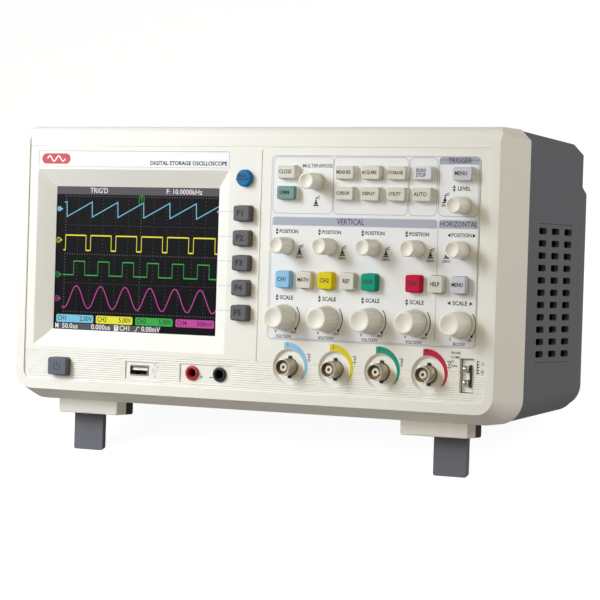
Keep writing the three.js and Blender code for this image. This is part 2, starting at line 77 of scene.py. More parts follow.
BEZEL_BOX = upright_box("front_bezel")
ORIGIN = Vector((0, BEZEL_BOX[0].y + RIM_PROUD, BEZEL_BOX[1].z - CASE_HEIGHT))
PLACE = TURN @ Matrix.Scale(MM, 4) @ Matrix.Translation(ORIGIN)


def case_box(node):
    """The node's lowest and highest corner in the case's frame."""
    return [corner - ORIGIN for corner in upright_box(node)]


def centre(node):
    """The middle of the node's box in the case's frame."""
    low, high = case_box(node)
    return (low + high) / 2


# ---- the case, in millimetres ----
HALF_WIDTH = case_box("front_bezel")[1].x
SEAM = case_box("front_bezel")[1].y
FRONT = {"half_width": 162, "bottom": 6.4, "corner": 10.5, "top": 157}
SIDE = {"half_width": HALF_WIDTH, "bottom": 0, "corner": 15, "chamfer": 6.4}
BEVEL_DEPTH = 14.5  # where the sloping front edge meets the straight side
ROLL_DEPTH = 10  # where the rolled top edge meets the flat top
WALL = 2.6
PANEL = {"half_width": 156.1, "bottom": 12.6, "corner": 5.5}
TOP_GROOVE = 154.6
RIB_ZONE = {"low": 12.6, "high": 29.6, "ribs": 13}
DIVIDE = {"x": 9.05, "low": 30, "high": 153}
NAME_PLATE = {"left": -150, "right": -13.2, "low": 142.1, "high": 152}
SCREEN = {"x": -81.5, "z": 86.8, "width": 116.6, "height": 87.4, "depth": 6, "slope": 10}
KEY_GAP = 0.2
SHAFT_HOLE = 3.8
MENU_RADIUS = 4.9  # the round menu button, seen from the front
POCKET = {"mouth": 10.3, "floor": 9.3, "depth": 1.7, "hole": 5.3}
USB_RECESS = {"left": -82.2, "right": -57.2, "low": 15.1, "high": 25.8}
JACK_RECESS = {"left": -43.5, "right": -7.4, "low": 15.1, "high": 26.2}
PROBE_POCKET = {"left": 140.9, "right": 149.5, "low": 18.2, "high": 37.4}
VENT = {"y": 53.7, "z": 40, "dy": 17.8, "dz": 7.04, "length": 10.4, "height": 3.8}
BUMP = {"top": 137.7, "bottom": 6.5, "inset": 2}
REAR = {"y": 109, "fall": 3.5, "rise": 5}  # how far the roof and floor close in at the back
GUARD = {"radius": 28.5, "pitch": 6.2, "slot": 3.8}  # the fan's round guard of level slots
LABEL_FACE = -0.3  # the front of the control label
INK = 0.05  # how thick printing is

# ---- nodes by kind ----
ALL_NODES = sorted(frame["nodes"])
SOFT_KEYS = [f"softkey_f{i}" for i in range(1, 6)]
FUNCTION_KEYS = {
    "close_key": "CLOSE",
    "dmm_key": "DMM",
    "measure_key": "MEASURE",
    "acquire_key": "ACQUIRE",
    "storage_key": "STORAGE",
    "cursor_key": "CURSOR",
    "display_key": "DISPLAY",
    "utility_key": "UTILITY",
    "run_stop_key": "RUN/\nSTOP",
    "auto_key": "AUTO",
    "trigger_menu_key": "MENU",
}
SQUARE_KEYS = {
    "ch1_key": "CH1",
    "math_key": "MATH",
    "ch2_key": "CH2",
    "ref_key": "REF",
    "ch3_key": "CH3",
    "ch4_key": "CH4",
    "help_key": "HELP",
    "horizontal_menu_key": "MENU",
}
KNOBS = [node for node in ALL_NODES if node.endswith("_knob") or "_knob_" in node]
SCALE_KNOBS = [node for node in KNOBS if "scale" in node]
INPUTS = [f"bnc_connector_{i}" for i in range(1, 5)]
JACKS = ["output_jack_red", "output_jack_black"]
CHANNEL_TONES = ("blue", "yellow", "green", "crimson")
BUTTONS = ["power_button", *SOFT_KEYS, *FUNCTION_KEYS, *SQUARE_KEYS]
ON_LABEL = [node for node in BUTTONS + KNOBS if centre(node).x > DIVIDE["x"]]


def tint(code):
    """The linear colour of a six-figure hex code."""
    parts = [int(code[i : i + 2], 16) / 255 for i in (0, 2, 4)]
    return tuple(c / 12.92 if c <= 0.04045 else ((c + 0.055) / 1.055) ** 2.4 for c in parts)


def colour(label, code):
    return FloatVectorProperty(name=label, description=f"Colour of {label.lower()}",
                               subtype="COLOR", size=3, min=0, max=1, default=tint(code))


def power(label, what, watts):
    return FloatProperty(name=label, description=what, unit="POWER", min=0, default=watts)


def length(label, what, millimetres):
    return FloatProperty(name=label, description=what, unit="LENGTH", min=0,
                         default=millimetres * MM)


class ScopeShape(bpy.types.PropertyGroup):
    """Sizes that a user would change."""

    case_edge: length("Case edge", "Rounding on the case's folds", 0.5)
    lip: length("Lip", "Rounding on the edges of recesses", 0.3)
    rib_depth: length("Rib depth", "Depth of the grooves between the lower panel's ribs", 0.24)
    key_corner: length("Key corner", "Corner radius of a key seen from the front", 1.4)
    key_edge: length("Key edge", "Rounding of a key's front edge", 0.7)
    knob_dish: length("Knob dish", "Depth of the hollow in a knob's front", 1.1)
    flute_depth: length("Flute depth", "Depth of the flutes on a knob's side", 0.22)
    leg_edge: length("Leg edge", "Rounding of the legs' edges", 0.7)


class ScopeColours(bpy.types.PropertyGroup):
    """Colours that a user would change."""

    cream: colour("Cream case", "EFEEE7")
    housing: colour("Rear housing", "676A72")
    leg: colour("Legs", "6A6D74")
    label: colour("Control label", "E9EAEA")
    heading: colour("Label headings", "ACB0C0")
    knob: colour("Knobs", "ECEADF")
    cream_key: colour("Cream keys", "D8D6CB")
    dark_key: colour("Dark keys", "5B5B5E")
    power_key: colour("Power key", "5C626C")
    lilac_key: colour("Lilac keys", "CDCDD8")
    sage_key: colour("Sage key", "6B978C")
    menu_blue: colour("Menu button", "0C72AE")
    channel_blue: colour("First channel", "90C5E8")
    channel_yellow: colour("Second channel", "E3CF00")
    channel_green: colour("Third channel", "069A7C")
    channel_crimson: colour("Fourth channel", "C5143F")
    badge: colour("Badge", "C23A42")


class ScopeStudio(bpy.types.PropertyGroup):
    """Light on the object."""

    key_power: power("Key light", "Power of the upper left light", 1.45)
    low_power: power("Low light", "Power of the lower left light", 0.7)
    front_power: power("Front light", "Power of the light in front", 2.5)
    side_power: power("Side light", "Power of the light on the right", 13)
    sky: FloatProperty(name="Sky", description="Brightness of the surroundings above",
                       min=0, default=0.17)
    ground: FloatProperty(name="Ground", description="Brightness of the surroundings below",
                          min=0, default=0.34)


def mm(value):
    """A stored length in millimetres."""
    return value / MM


# ---- mesh helpers ----
def section(bm, y, x, z, width, height, corner=0.0, steps=5):
    """A flat rounded rectangle in the panel's plane at depth y, centred on x, z."""
    where = (Matrix.Translation((x, y, z)) @ Matrix.Rotation(math.pi / 2, 4, "X")
             @ Matrix.Diagonal((width, height, 1, 1)))
    made = bmesh.ops.create_grid(bm, x_segments=1, y_segments=1, size=0.5, matrix=where)
    face = made["verts"][0].link_faces[0]
    if corner <= 0:
        return face
    known = set(bm.faces) - {face}
    bmesh.ops.bevel(bm, geom=made["verts"], offset=corner, segments=steps, profile=0.5,
                    affect="VERTICES", material=-1)
    return next(f for f in bm.faces if f not in known)


def between(left, right, low, high, grow=0.0):
    """Centre and size of a rectangle given by its sides."""
    return ((left + right) / 2, (low + high) / 2, right - left + 2 * grow, high - low + 2 * grow)


def sides(area):
    """The left, right, low and high of an area of the case."""
    return [area[k] for k in ("left", "right", "low", "high")]


def box_place(box, grow=0.0):
    """Centre and size of a box as it is seen from the front."""
    low, high = box
    return between(low.x, high.x, low.z, high.z, grow)


def skin(bm, sections):
    """One closed body through the sections, in order."""
    for near, far in zip(sections, sections[1:]):
        bmesh.ops.bridge_loops(bm, edges=list(near.edges) + list(far.edges))
    bmesh.ops.delete(bm, geom=sections[1:-1], context="FACES_ONLY")


def block(bm, x, z, width, height, near, far, corner=0.0, steps=5):
    """A straight block with rounded corners, from depth near to depth far."""
    skin(bm, [section(bm, y, x, z, width, height, corner, steps) for y in (near, far)])


def flared(bm, place, near, far, corner, lip):
    """A cutter for a recess whose mouth at the panel's face has a rounded lip."""
    x, z, width, height = place
    turns = [math.radians(a) for a in (0, 30, 60, 90)]
    rows = [(near, lip)] + [(lip * math.sin(a), lip * (1 - math.sin(a))) for a in turns]
    skin(bm, [section(bm, y, x, z, width + 2 * g, height + 2 * g, max(corner + g, 0.05))
              for y, g in [*rows, (far, 0)]])


def turn(bm, x, z, profile, steps=48):
    """A profile of (radius, y) points turned about the line through x, z along Y."""
    verts = [bm.verts.new((x + radius, y, z)) for radius, y in profile]
    edges = [bm.edges.new(pair) for pair in zip(verts, verts[1:])]
    known = set(bm.verts) - set(verts)
    bmesh.ops.spin(bm, geom=verts + edges, cent=(x, 0, z), axis=(0, 1, 0), angle=math.tau,
                   steps=steps, use_merge=True)
    made = [v for v in bm.verts if v not in known]
    bmesh.ops.remove_doubles(bm, verts=made, dist=1e-4)
    return [v for v in bm.verts if v not in known]


def arc(radius, y, size, start, end, steps=4):
    """Points of a small arc in a turned profile, by its centre, its size and its two angles."""
    angles = [math.radians(start + (end - start) * i / steps) for i in range(steps + 1)]
    return [(radius + size * math.cos(a), y + size * math.sin(a)) for a in angles]


def rod(bm, x, z, radius, near, far, steps=24):
    """A straight rod along Y."""
    return turn(bm, x, z, [(0, near), (radius, near), (radius, far), (0, far)], steps)


def stock(bm, name):
    """A scratch object that holds bm's shape."""
    bmesh.ops.recalc_face_normals(bm, faces=bm.faces[:])
    mesh = bpy.data.meshes.new(name)
    bm.to_mesh(mesh)
    made = bpy.data.objects.new(name, mesh)
    bpy.context.scene.collection.objects.link(made)
    return made


def carve(bm, *tools, operation="DIFFERENCE"):
    """Cuts the tools out of bm, one after another, or joins them to it."""
    body = stock(bm, "stock")
    used = [stock(tool, "tool") for tool in tools]
    for cutter in used:
        step = body.modifiers.new("cut", "BOOLEAN")
        step.object = cutter
        step.solver = "EXACT"
        step.operation = operation
    result = bpy.data.meshes.new_from_object(
        body.evaluated_get(bpy.context.evaluated_depsgraph_get()))
    bm.clear()
    bm.from_mesh(result)
    for scrap in [body, *used]:
        mesh = scrap.data
        bpy.data.objects.remove(scrap)
        bpy.data.meshes.remove(mesh)
    bpy.data.meshes.remove(result)
    for tool in tools:
        tool.free()


class Coats(dict):
    """The shapes of one piece, with a bmesh for each of its materials."""

    def __missing__(self, name):
        self[name] = bmesh.new()
        return self[name]

    def joined(self):
        """One bmesh of all the shapes, each with its material."""
        whole = bmesh.new()
        for index, bm in enumerate(self.values()):
            bmesh.ops.recalc_face_normals(bm, faces=bm.faces[:])
            for face in bm.faces:
                face.material_index = index
            mesh = bpy.data.meshes.new("coat")
            bm.to_mesh(mesh)
            whole.from_mesh(mesh)
            bpy.data.meshes.remove(mesh)
            bm.free()
        return whole


def letters(bm, words, x, z, surface, size, spread=1.0, align="CENTER", heavy=0.0):
    """Words printed on a surface, as thin solid letters of the given capital height."""
    capital = 0.73  # height of a capital letter for a text size of 1
    curve = bpy.data.curves.new("letters", "FONT")
    curve.body = words
    curve.size = size / capital
    curve.align_x = align
    curve.align_y = "CENTER"
    curve.extrude = INK / 2
    curve.offset = heavy
    curve.resolution_u = 2
    curve.space_line = 0.85
    holder = bpy.data.objects.new("letters", curve)
    bpy.context.scene.collection.objects.link(holder)
    bpy.context.view_layer.update()
    mesh = bpy.data.meshes.new_from_object(holder)
    mesh.transform(Matrix.Translation((x, surface - INK / 2, z))
                   @ Matrix.Rotation(math.pi / 2, 4, "X") @ Matrix.Diagonal((spread, 1, 1, 1)))
    bm.from_mesh(mesh)
    bpy.data.objects.remove(holder)
    bpy.data.curves.remove(curve)
    bpy.data.meshes.remove(mesh)


def draw_out(bm, faces, way):
    """Draws closed solids out of flat faces."""
    made = bmesh.ops.extrude_face_region(bm, geom=faces)
    moved = [v for v in made["geom"] if isinstance(v, bmesh.types.BMVert)]
    bmesh.ops.translate(bm, verts=moved, vec=way)


def thicken(bm, faces, amount):
    """Pushes flat faces back by amount, to make closed solids of them."""
    draw_out(bm, faces, (0, amount, 0))


def patch(bm, x, z, width, height, surface, corner=0.0, steps=4):
    """A printed rounded rectangle."""
    block(bm, x, z, width, height, surface - INK, surface, corner, steps)


def outline(bm, place, surface, corner, line):
    """A printed line round a rounded rectangle."""
    face = section(bm, surface - INK, *place, corner)
    face.normal_update()
    ring = bmesh.ops.inset_region(bm, faces=[face], thickness=line, use_boundary=True,
                                  use_even_offset=True)["faces"]
    bmesh.ops.delete(bm, geom=[face], context="FACES_ONLY")
    thicken(bm, ring, INK)


def polygon(bm, points, surface):
    """A printed flat shape through (x, z) points, anticlockwise as the panel is seen."""
    face = bm.faces.new([bm.verts.new((x, surface - INK, z)) for x, z in points])
    thicken(bm, [face], INK)


def stroke(bm, points, width, surface):
    """A printed line of even width through (x, z) points."""
    path = [Vector(p) for p in points]
    rails = []
    for i, here in enumerate(path):
        ahead = (path[min(i + 1, len(path) - 1)] - here).normalized()
        behind = (here - path[max(i - 1, 0)]).normalized()
        along = (ahead + behind).normalized()
        across = Vector((-along.y, along.x))
        lean = max(abs(along.dot(ahead if ahead.length else behind)), 0.5)
        rails.append([bm.verts.new((p.x, surface - INK, p.y)) for p in
                      (here - across * width / 2 / lean, here + across * width / 2 / lean)])
    faces = [bm.faces.new((a[0], b[0], b[1], a[1])) for a, b in zip(rails, rails[1:])]
    thicken(bm, faces, INK)


def finish(coats, name, body, stands_for=(), sharp=32, weighted=False):
    """Turns coats of shapes into a finished piece that rides on a body of the frame."""
    bm = Coats(coats).joined()
    mesh = bpy.data.meshes.new(name)
    bm.to_mesh(mesh)
    bm.free()
    mesh.transform(PLACE)
    for coat in coats:
        mesh.materials.append(material(coat))
    mesh.polygons.foreach_set("use_smooth", [True] * len(mesh.polygons))
    mesh.set_sharp_from_angle(angle=math.radians(sharp))
    piece = bpy.data.objects.new(name, mesh)
    bpy.context.scene.collection.objects.link(piece)
    if weighted:
        normals = piece.modifiers.new("even shading", "WEIGHTED_NORMAL")
        normals.keep_sharp = True
    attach(piece, body)
    if stands_for:
        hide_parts(*stands_for)
    return piece


# ---- materials ----
def blank_material(name):
    """A material with only its shader, and coordinates lined up with the case."""
    material = bpy.data.materials.new(name)
    material.use_nodes = True
    nodes, links = material.node_tree.nodes, material.node_tree.links
    shader = nodes["Principled BSDF"]
    place = nodes.new("ShaderNodeTexCoord")
    square = nodes.new("ShaderNodeMapping")
    square.inputs["Rotation"].default_value = (LEAN, 0, 0)
    links.new(place.outputs["Object"], square.inputs["Vector"])
    return material, nodes, links, shader, square.outputs["Vector"]


def noise(nodes, links, where, grain, detail=2.0):
    """Noise whose features are about grain millimetres across."""
    made = nodes.new("ShaderNodeTexNoise")
    made.inputs["Scale"].default_value = 1 / (grain * MM)
    made.inputs["Detail"].default_value = detail
    links.new(where, made.inputs["Vector"])
    return made.outputs["Fac"]


def spread(nodes, links, value, low, high):
    """Maps a noise value to the range from low to high."""
    made = nodes.new("ShaderNodeMapRange")
    made.inputs["From Min"].default_value = 0.3
    made.inputs["From Max"].default_value = 0.7
    made.inputs["To Min"].default_value = low
    made.inputs["To Max"].default_value = high
    links.new(value, made.inputs["Value"])
    return made.outputs["Result"]


def shaded(nodes, links, where, base, grain, amount):
    """The base colour, drifting a little lighter and darker over grain millimetres."""
    ramp = nodes.new("ShaderNodeMix")
    ramp.data_type = "RGBA"
    ramp.inputs["A"].default_value = (*[c * (1 - amount) for c in base], 1)
    ramp.inputs["B"].default_value = (*[min(c * (1 + amount), 1) for c in base], 1)
    links.new(noise(nodes, links, where, grain), ramp.inputs["Factor"])
    return ramp.outputs["Result"]


def grained(nodes, links, shader, where, grain, detail, relief):
    """Fine relief in the surface, relief millimetres deep."""
    bump = nodes.new("ShaderNodeBump")
    bump.inputs["Strength"].default_value = 1
    bump.inputs["Distance"].default_value = relief * MM
    links.new(noise(nodes, links, where, grain, detail), bump.inputs["Height"])
    links.new(bump.outputs["Normal"], shader.inputs["Normal"])


def moulded(name, base, roughness=0.5, grain=0.35, relief=0.006, drift=0.02, sheen=0.4):
    """Moulded plastic with a fine spark-eroded grain."""
    material, nodes, links, shader, where = blank_material(name)
    links.new(shaded(nodes, links, where, base, 18, drift), shader.inputs["Base Color"])
    links.new(spread(nodes, links, noise(nodes, links, where, grain * 3), roughness - 0.05,
                     roughness + 0.06), shader.inputs["Roughness"])
    grained(nodes, links, shader, where, grain, 3, relief)
    shader.inputs["Specular IOR Level"].default_value = sheen
    return material


def printed(name, base, roughness=0.5):
    """Screen-printed ink, with slightly uneven cover."""
    material, nodes, links, shader, where = blank_material(name)
    links.new(shaded(nodes, links, where, base, 0.8, 0.05), shader.inputs["Base Color"])
    links.new(spread(nodes, links, noise(nodes, links, where, 0.3), roughness - 0.06,
                     roughness + 0.06), shader.inputs["Roughness"])
    shader.inputs["Specular IOR Level"].default_value = 0.3
    return material


def metal(name, base, roughness=0.25, grain=0.4, relief=0.004, metallic=1.0):
    """Plated metal with fine tool marks."""
    material, nodes, links, shader, where = blank_material(name)
    links.new(shaded(nodes, links, where, base, 2.5, 0.08), shader.inputs["Base Color"])
    links.new(spread(nodes, links, noise(nodes, links, where, grain * 4), roughness - 0.06,
                     roughness + 0.08), shader.inputs["Roughness"])
    grained(nodes, links, shader, where, grain, 2, relief)
    shader.inputs["Metallic"].default_value = metallic
    return material


def lit(name, base):
    """A lit part of the display, a little uneven as its dots are."""
    material, nodes, links, shader, where = blank_material(name)
    shader.inputs["Base Color"].default_value = (0.005, 0.005, 0.005, 1)
    shader.inputs["Roughness"].default_value = 0.4
    shader.inputs["Specular IOR Level"].default_value = 0.12
    shader.inputs["Emission Strength"].default_value = 1
    links.new(shaded(nodes, links, where, base, 0.4, 0.06), shader.inputs["Emission Color"])
    return material


def circuit_board(name, base):
    """Solder-masked board, with copper tracks showing through as lighter lines."""
    material, nodes, links, shader, where = blank_material(name)
    tracks = nodes.new("ShaderNodeTexVoronoi")
    tracks.distance = "MANHATTAN"
    tracks.feature = "DISTANCE_TO_EDGE"
    tracks.inputs["Scale"].default_value = 1 / (4 * MM)
    links.new(where, tracks.inputs["Vector"])
    edge = nodes.new("ShaderNodeMapRange")
    edge.inputs["From Max"].default_value = 0.06
    links.new(tracks.outputs["Distance"], edge.inputs["Value"])
    mix = nodes.new("ShaderNodeMix")
    mix.data_type = "RGBA"
    mix.inputs["A"].default_value = (*[min(c * 1.9 + 0.02, 1) for c in base], 1)
    mix.inputs["B"].default_value = (*base, 1)
    links.new(edge.outputs["Result"], mix.inputs["Factor"])
    links.new(mix.outputs["Result"], shader.inputs["Base Color"])
    links.new(spread(nodes, links, noise(nodes, links, where, 2), 0.35, 0.5),
              shader.inputs["Roughness"])
    return material


# how each finish is made: its maker, its material's name, its tone (the name of one of
# ScopeColours' tones, or a hex code) and the maker's further values
RECIPES = {
    "cream": (moulded, "case_cream", "cream"),
    "housing": (moulded, "housing_grey", "housing", 0.55, 0.6, 0.014, 0.03, 0.35),
    "leg": (moulded, "leg_grey", "leg", 0.6, 0.5, 0.01, 0.03, 0.3),
    "label": (moulded, "label_sheet", "label", 0.42, 0.25, 0.003, 0.01),
    "heading": (printed, "heading_ink", "heading"),
    "knob": (moulded, "knob_cream", "knob", 0.42, 0.3, 0.004),
    "cream_key": (moulded, "key_cream", "cream_key"),
    "dark_key": (moulded, "key_dark", "dark_key", 0.55),
    "power_key": (moulded, "power_key", "power_key"),
    "lilac_key": (moulded, "key_lilac", "lilac_key"),
    "pale_key": (moulded, "key_pale", "D9DBE6"),
    "sage_key": (moulded, "key_sage", "sage_key"),
    "menu_blue": (moulded, "menu_blue", "menu_blue", 0.4, 0.35, 0.006, 0.02, 0.15),
    **{tone: (moulded, f"channel_{tone}", f"channel_{tone}", 0.42, 0.35, 0.006, 0.02, 0.12)
       for tone in CHANNEL_TONES},
    **{f"{tone}_ink": (printed, f"{tone}_ink", f"channel_{tone}") for tone in CHANNEL_TONES},
    "badge": (printed, "badge_red", "badge", 0.35),
    "white_ink": (printed, "white_ink", "F4F2F0"),
    "ink": (printed, "dark_ink", "26282C"),
    "navy_ink": (printed, "navy_ink", "464B60"),
    "legend_ink": (printed, "legend_ink", "43454C"),
    "line_ink": (printed, "line_ink", "B4B6C2"),
    "pale_ink": (printed, "pale_ink", "BFBFBC"),
    "plate": (moulded, "name_plate", "F1F1F6", 0.4, 0.25, 0.003, 0.01),
    # black plastic; in the sockets, the data port and the probe pocket it also stands for painted
    # shade
    "black": (moulded, "black_plastic", "1D1D20", 0.45),
    "red": (moulded, "red_plastic", "B8232B", 0.35),
    "nickel": (metal, "nickel", "BDB19E", 0.32, 0.6, 0.002, 0.8),
    "bright": (metal, "bright_nickel", "D8D6D2", 0.18),
    # the input socket's front rim: the barrel's nickel, made lighter and less metallic as a painted
    # highlight
    "rim_metal_with_painted_highlight": (metal, "rim_nickel", "E4DFD2", 0.35, 0.6, 0.002, 0.5),
    "gold": (metal, "gold_contact", "B79A5C", 0.3),
    "contact": (metal, "dark_contact", "6E5F50", 0.35),
    "insulator": (moulded, "insulator", "EDE8DC", 0.4, 0.3, 0.003),
    "glass": (moulded, "screen_glass", "0B0A0B", 0.35, 0.2, 0.002, 0.05, 0.06),
    "board": (circuit_board, "board_green", "1F5A3C"),
    "trace_1": (lit, "trace_cyan", "79C4E0"),
    "trace_2": (lit, "trace_yellow", "E6E23A"),
    "trace_3": (lit, "trace_green", "35A844"),
    "trace_4": (lit, "trace_magenta", "C2459A"),
    "lit_white": (lit, "lit_white", "EDEDED"),
    "lit_grey": (lit, "lit_grey", "545056"),
    "lit_dots": (lit, "lit_dots", "6E6A66"),
    "lit_black": (lit, "lit_black", "141314"),
}
MATERIALS = {}


def material(name):
    """The object's materials by name, each made on its first use."""
    if name not in MATERIALS:
        maker, title, tone, *values = RECIPES[name]
        base = getattr(bpy.context.scene.scope_colours, tone, None) or tint(tone)
        MATERIALS[name] = maker(title, base, *values)
    return MATERIALS[name]


class Maker:
    """What every operator here shares: it adds to a plain scene and can be undone."""

    bl_options = {"REGISTER", "UNDO"}

    @property
    def shape(self):
        return bpy.context.scene.scope_shape


# ---- the case ----
def case_section(bm, y, half_width, bottom, top, corner, steps=10):
    """The case's outline at depth y, with round lower corners."""
    place = between(-half_width, half_width, bottom, top)
    face = section(bm, y, *place)
    low = [v for v in face.verts if v.co.z < bottom + 1]
    known = set(bm.faces) - {face}
    bmesh.ops.bevel(bm, geom=low, offset=corner, segments=steps, profile=0.5,
                    affect="VERTICES", material=-1)
    return next(f for f in bm.faces if f not in known)


def cut_corners(bm, inset=0.0, slope=0.0):
    """Takes the two upper corners off the case along its whole depth."""
    reach = SIDE["chamfer"] - inset * (math.sqrt(2) - 1) + inset * (2 - math.sqrt(2))
    for side in (-1, 1):
        edge = Vector((side * (HALF_WIDTH - inset), SEAM, CASE_HEIGHT - inset - reach))
        geom = bm.verts[:] + bm.edges[:] + bm.faces[:]
        bmesh.ops.bisect_plane(bm, geom=geom, dist=1e-4, plane_co=edge, plane_no=(side, slope, 1),
                               clear_outer=True)
        rim = [e for e in bm.edges if e.is_boundary]
        bmesh.ops.edgeloop_fill(bm, edges=rim)


def round_folds(bm, size, least=9, keep=lambda edge: True):
    """Rounds every fold sharper than least degrees."""
    bmesh.ops.recalc_face_normals(bm, faces=bm.faces[:])
    folds = [e for e in bm.edges if e.is_manifold
             and math.degrees(e.calc_face_angle()) > least and keep(e)]
    bmesh.ops.bevel(bm, geom=folds, offset=size, segments=2, profile=0.5, affect="EDGES",
                    material=-1, clamp_overlap=True)


def front_blend(y):
    """How far the sloping front edge has come at depth y, from 0 to 1."""
    return min((y + RIM_PROUD) / (BEVEL_DEPTH + RIM_PROUD), 1)


def bezel_section(bm, y, top, inset=0.0):
    """The bezel's outline at depth y, which widens along its sloping front edge."""
    t = front_blend(y)
    half, bottom, corner = (FRONT[k] + (SIDE[k] - FRONT[k]) * t
                            for k in ("half_width", "bottom", "corner"))
    return case_section(bm, y, half - inset, bottom + inset, top - inset, corner - inset)


def rolled_top(steps=8):
    """(y, z) down the rolled upper edge of the bezel."""
    drop = CASE_HEIGHT - FRONT["top"]
    for i in range(steps + 1):
        a = math.pi / 2 * i / steps
        yield ROLL_DEPTH - (ROLL_DEPTH + RIM_PROUD) * math.cos(a), FRONT["top"] + drop * math.sin(a)


def bezel_body(size):
    """The hollow bezel, before anything is cut in its front."""
    outer = bmesh.new()
    rows = [*rolled_top(), (BEVEL_DEPTH, CASE_HEIGHT), (SEAM, CASE_HEIGHT)]
    skin(outer, [bezel_section(outer, y, top) for y, top in rows])
    cut_corners(outer)

    def crease(edge):
        ys = [v.co.y for v in edge.verts]
        flat = max(ys) - min(ys) < 1e-3
        rounds_top = flat and min(v.co.z for v in edge.verts) > FRONT["top"] - 1
        on_roll = rounds_top and -0.8 < ys[0] < ROLL_DEPTH + 1
        return not on_roll

    round_folds(outer, size, 8, crease)
    cavity = bmesh.new()
    rows = [(WALL, CASE_HEIGHT - 2), (ROLL_DEPTH, CASE_HEIGHT), (BEVEL_DEPTH, CASE_HEIGHT),
            (SEAM + 1, CASE_HEIGHT)]
    skin(cavity, [bezel_section(cavity, y, top, WALL) for y, top in rows])
    cut_corners(cavity, WALL)
    carve(outer, cavity)
    return outer


def bezel_backing():
    """Solid stock behind the screen and the input sockets."""
    stock_behind = bmesh.new()
    grow = 2 * (SCREEN["slope"] + 2)
    block(stock_behind, SCREEN["x"], SCREEN["z"], SCREEN["width"] + grow,
          SCREEN["height"] + grow, 1, SCREEN["depth"] + 2)
    first, last = centre(INPUTS[0]), centre(INPUTS[-1])
    block(stock_behind, *between(first.x - 13.5, last.x + 13.5, 15, 40.3), 1, 6)
    return stock_behind


def leg_blocks():
    """The cream front of each foot, above its leg."""
    blocks = bmesh.new()
    for side in ("left", "right"):
        low, high = case_box(f"foot_bracket_{side}")
        place = between(low.x, high.x, low.z, 1.5)
        inside = place[2] - 1.6, place[3] - 1.6
        near = BEVEL_DEPTH
        skin(blocks, [
            section(blocks, near, place[0], place[1], *inside, 0.6, 3),
            section(blocks, near + 0.3, place[0], place[1], place[2] - 0.5, place[3] - 0.5, 0.9, 3),
            section(blocks, near + 0.9, *place, 1.2, 3),
            section(blocks, low.y - 0.3, *place, 1.2, 3),
        ])
    return blocks


def panel_cutter():
    """Sinks the panel below the bezel's rim."""
    cutter = bmesh.new()
    rows = [(-4, 0.35), (-RIM_PROUD, 0.35), (-RIM_PROUD + 0.12, 0.12), (-RIM_PROUD + 0.4, 0),
            (0, 0)]
    skin(cutter, [case_section(cutter, y, PANEL["half_width"] + g, PANEL["bottom"] - g, 180,
                               PANEL["corner"] + g, 8) for y, g in rows])
    return cutter


def groove_cutters(depth):
    """The panel's dividing grooves and the fine ribs along its lower edge."""
    lines = bmesh.new()
    wide = PANEL["half_width"]
    skin(lines, [section(lines, y, 0, TOP_GROOVE, 2 * wide, h) for y, h in
                 ((-1, 1.1), (0, 0.7), (0.5, 0.2))])
    upright = between(DIVIDE["x"] - 0.45, DIVIDE["x"] + 0.45, DIVIDE["low"], DIVIDE["high"])
    skin(lines, [section(lines, y, *upright[:2], w, upright[3]) for y, w in
                 ((-1, 1.3), (0, 0.9), (0.6, 0.3))])
    pitch = (RIB_ZONE["high"] - RIB_ZONE["low"]) / RIB_ZONE["ribs"]
    for i in range(1, RIB_ZONE["ribs"] + 1):
        z = RIB_ZONE["low"] + pitch * i
        reach = wide - (3 if i < 4 else 0.6)
        top = i == RIB_ZONE["ribs"]
        skin(lines, [section(lines, y, 0, z, 2 * reach, h) for y, h in
                     ((-1, 1.3), (0, 0.75), (depth * (1.3 if top else 1), 0.15))])
    return lines


def recess_cutters(lip):
    """The shallow recesses round the name plate, the sockets and the jacks."""
    cutter = bmesh.new()
    for area, depth, corner, edge in ((NAME_PLATE, 0.35, 0.6, 0.12), (USB_RECESS, 0.8, 0.5, 0.15),
                                      (JACK_RECESS, 0.8, 0.5, 0.15), (PROBE_POCKET, 4.6, 0.4, lip)):
        flared(cutter, between(*sides(area)), -1, depth, corner, edge)
    for node in INPUTS:
        middle = centre(node)
        mouth, floor, depth = POCKET["mouth"], POCKET["floor"], POCKET["depth"]
        turn(cutter, middle.x, middle.z,
             [(0, -1), (mouth + 0.5, -1), (mouth + 0.5, 0), (mouth + 0.15, 0.08), (mouth, 0.35),
              (floor + 0.25, depth - 0.5), (floor - 0.3, depth), (0, depth)], 72)
    return cutter


def screen_cutter():
    """The sloping frame round the display, then the opening for the display itself."""
    cutter = bmesh.new()
    x, z, depth = SCREEN["x"], SCREEN["z"], SCREEN["depth"]
    rows = [(-1, SCREEN["slope"] + 0.3), (0, SCREEN["slope"] + 0.3), (0.3, SCREEN["slope"] - 0.4),
            (depth, 0)]
    skin(cutter, [section(cutter, y, x, z, SCREEN["width"] + 2 * g, SCREEN["height"] + 2 * g,
                          0.4 + g * 0.06, 3) for y, g in rows])
    opening = bmesh.new()
    block(opening, x, z, SCREEN["width"] - 0.05, SCREEN["height"] - 0.05, depth - 0.5, depth + 3)
    seat = bmesh.new()
    block(seat, *box_place(case_box("lcd_module"), 0.3), depth + 0.3, 24)
    return [cutter, opening, seat]


def hole_cutters(lip):
    """Openings for the keys, the knobs' shafts and the sockets."""
    holes = bmesh.new()
    near, far = -2, 7
    for node in BUTTONS:
        edge = 0.03 if node in ON_LABEL else lip * 0.6
        flared(holes, box_place(key_face(node), KEY_GAP), near, far, 1.5, edge)
    for nodes, radius, steps in ((["menu_on_off_button"], MENU_RADIUS + KEY_GAP, 40),
                                 (KNOBS, SHAFT_HOLE, 20), (INPUTS, POCKET["hole"], 32),
                                 (JACKS, 4.2, 32)):
        for node in nodes:
            middle = centre(node)
            rod(holes, middle.x, middle.z, radius, near, far, steps)
    block(holes, *box_place(case_box("usb_port"), 0.3), near, far)
    return holes


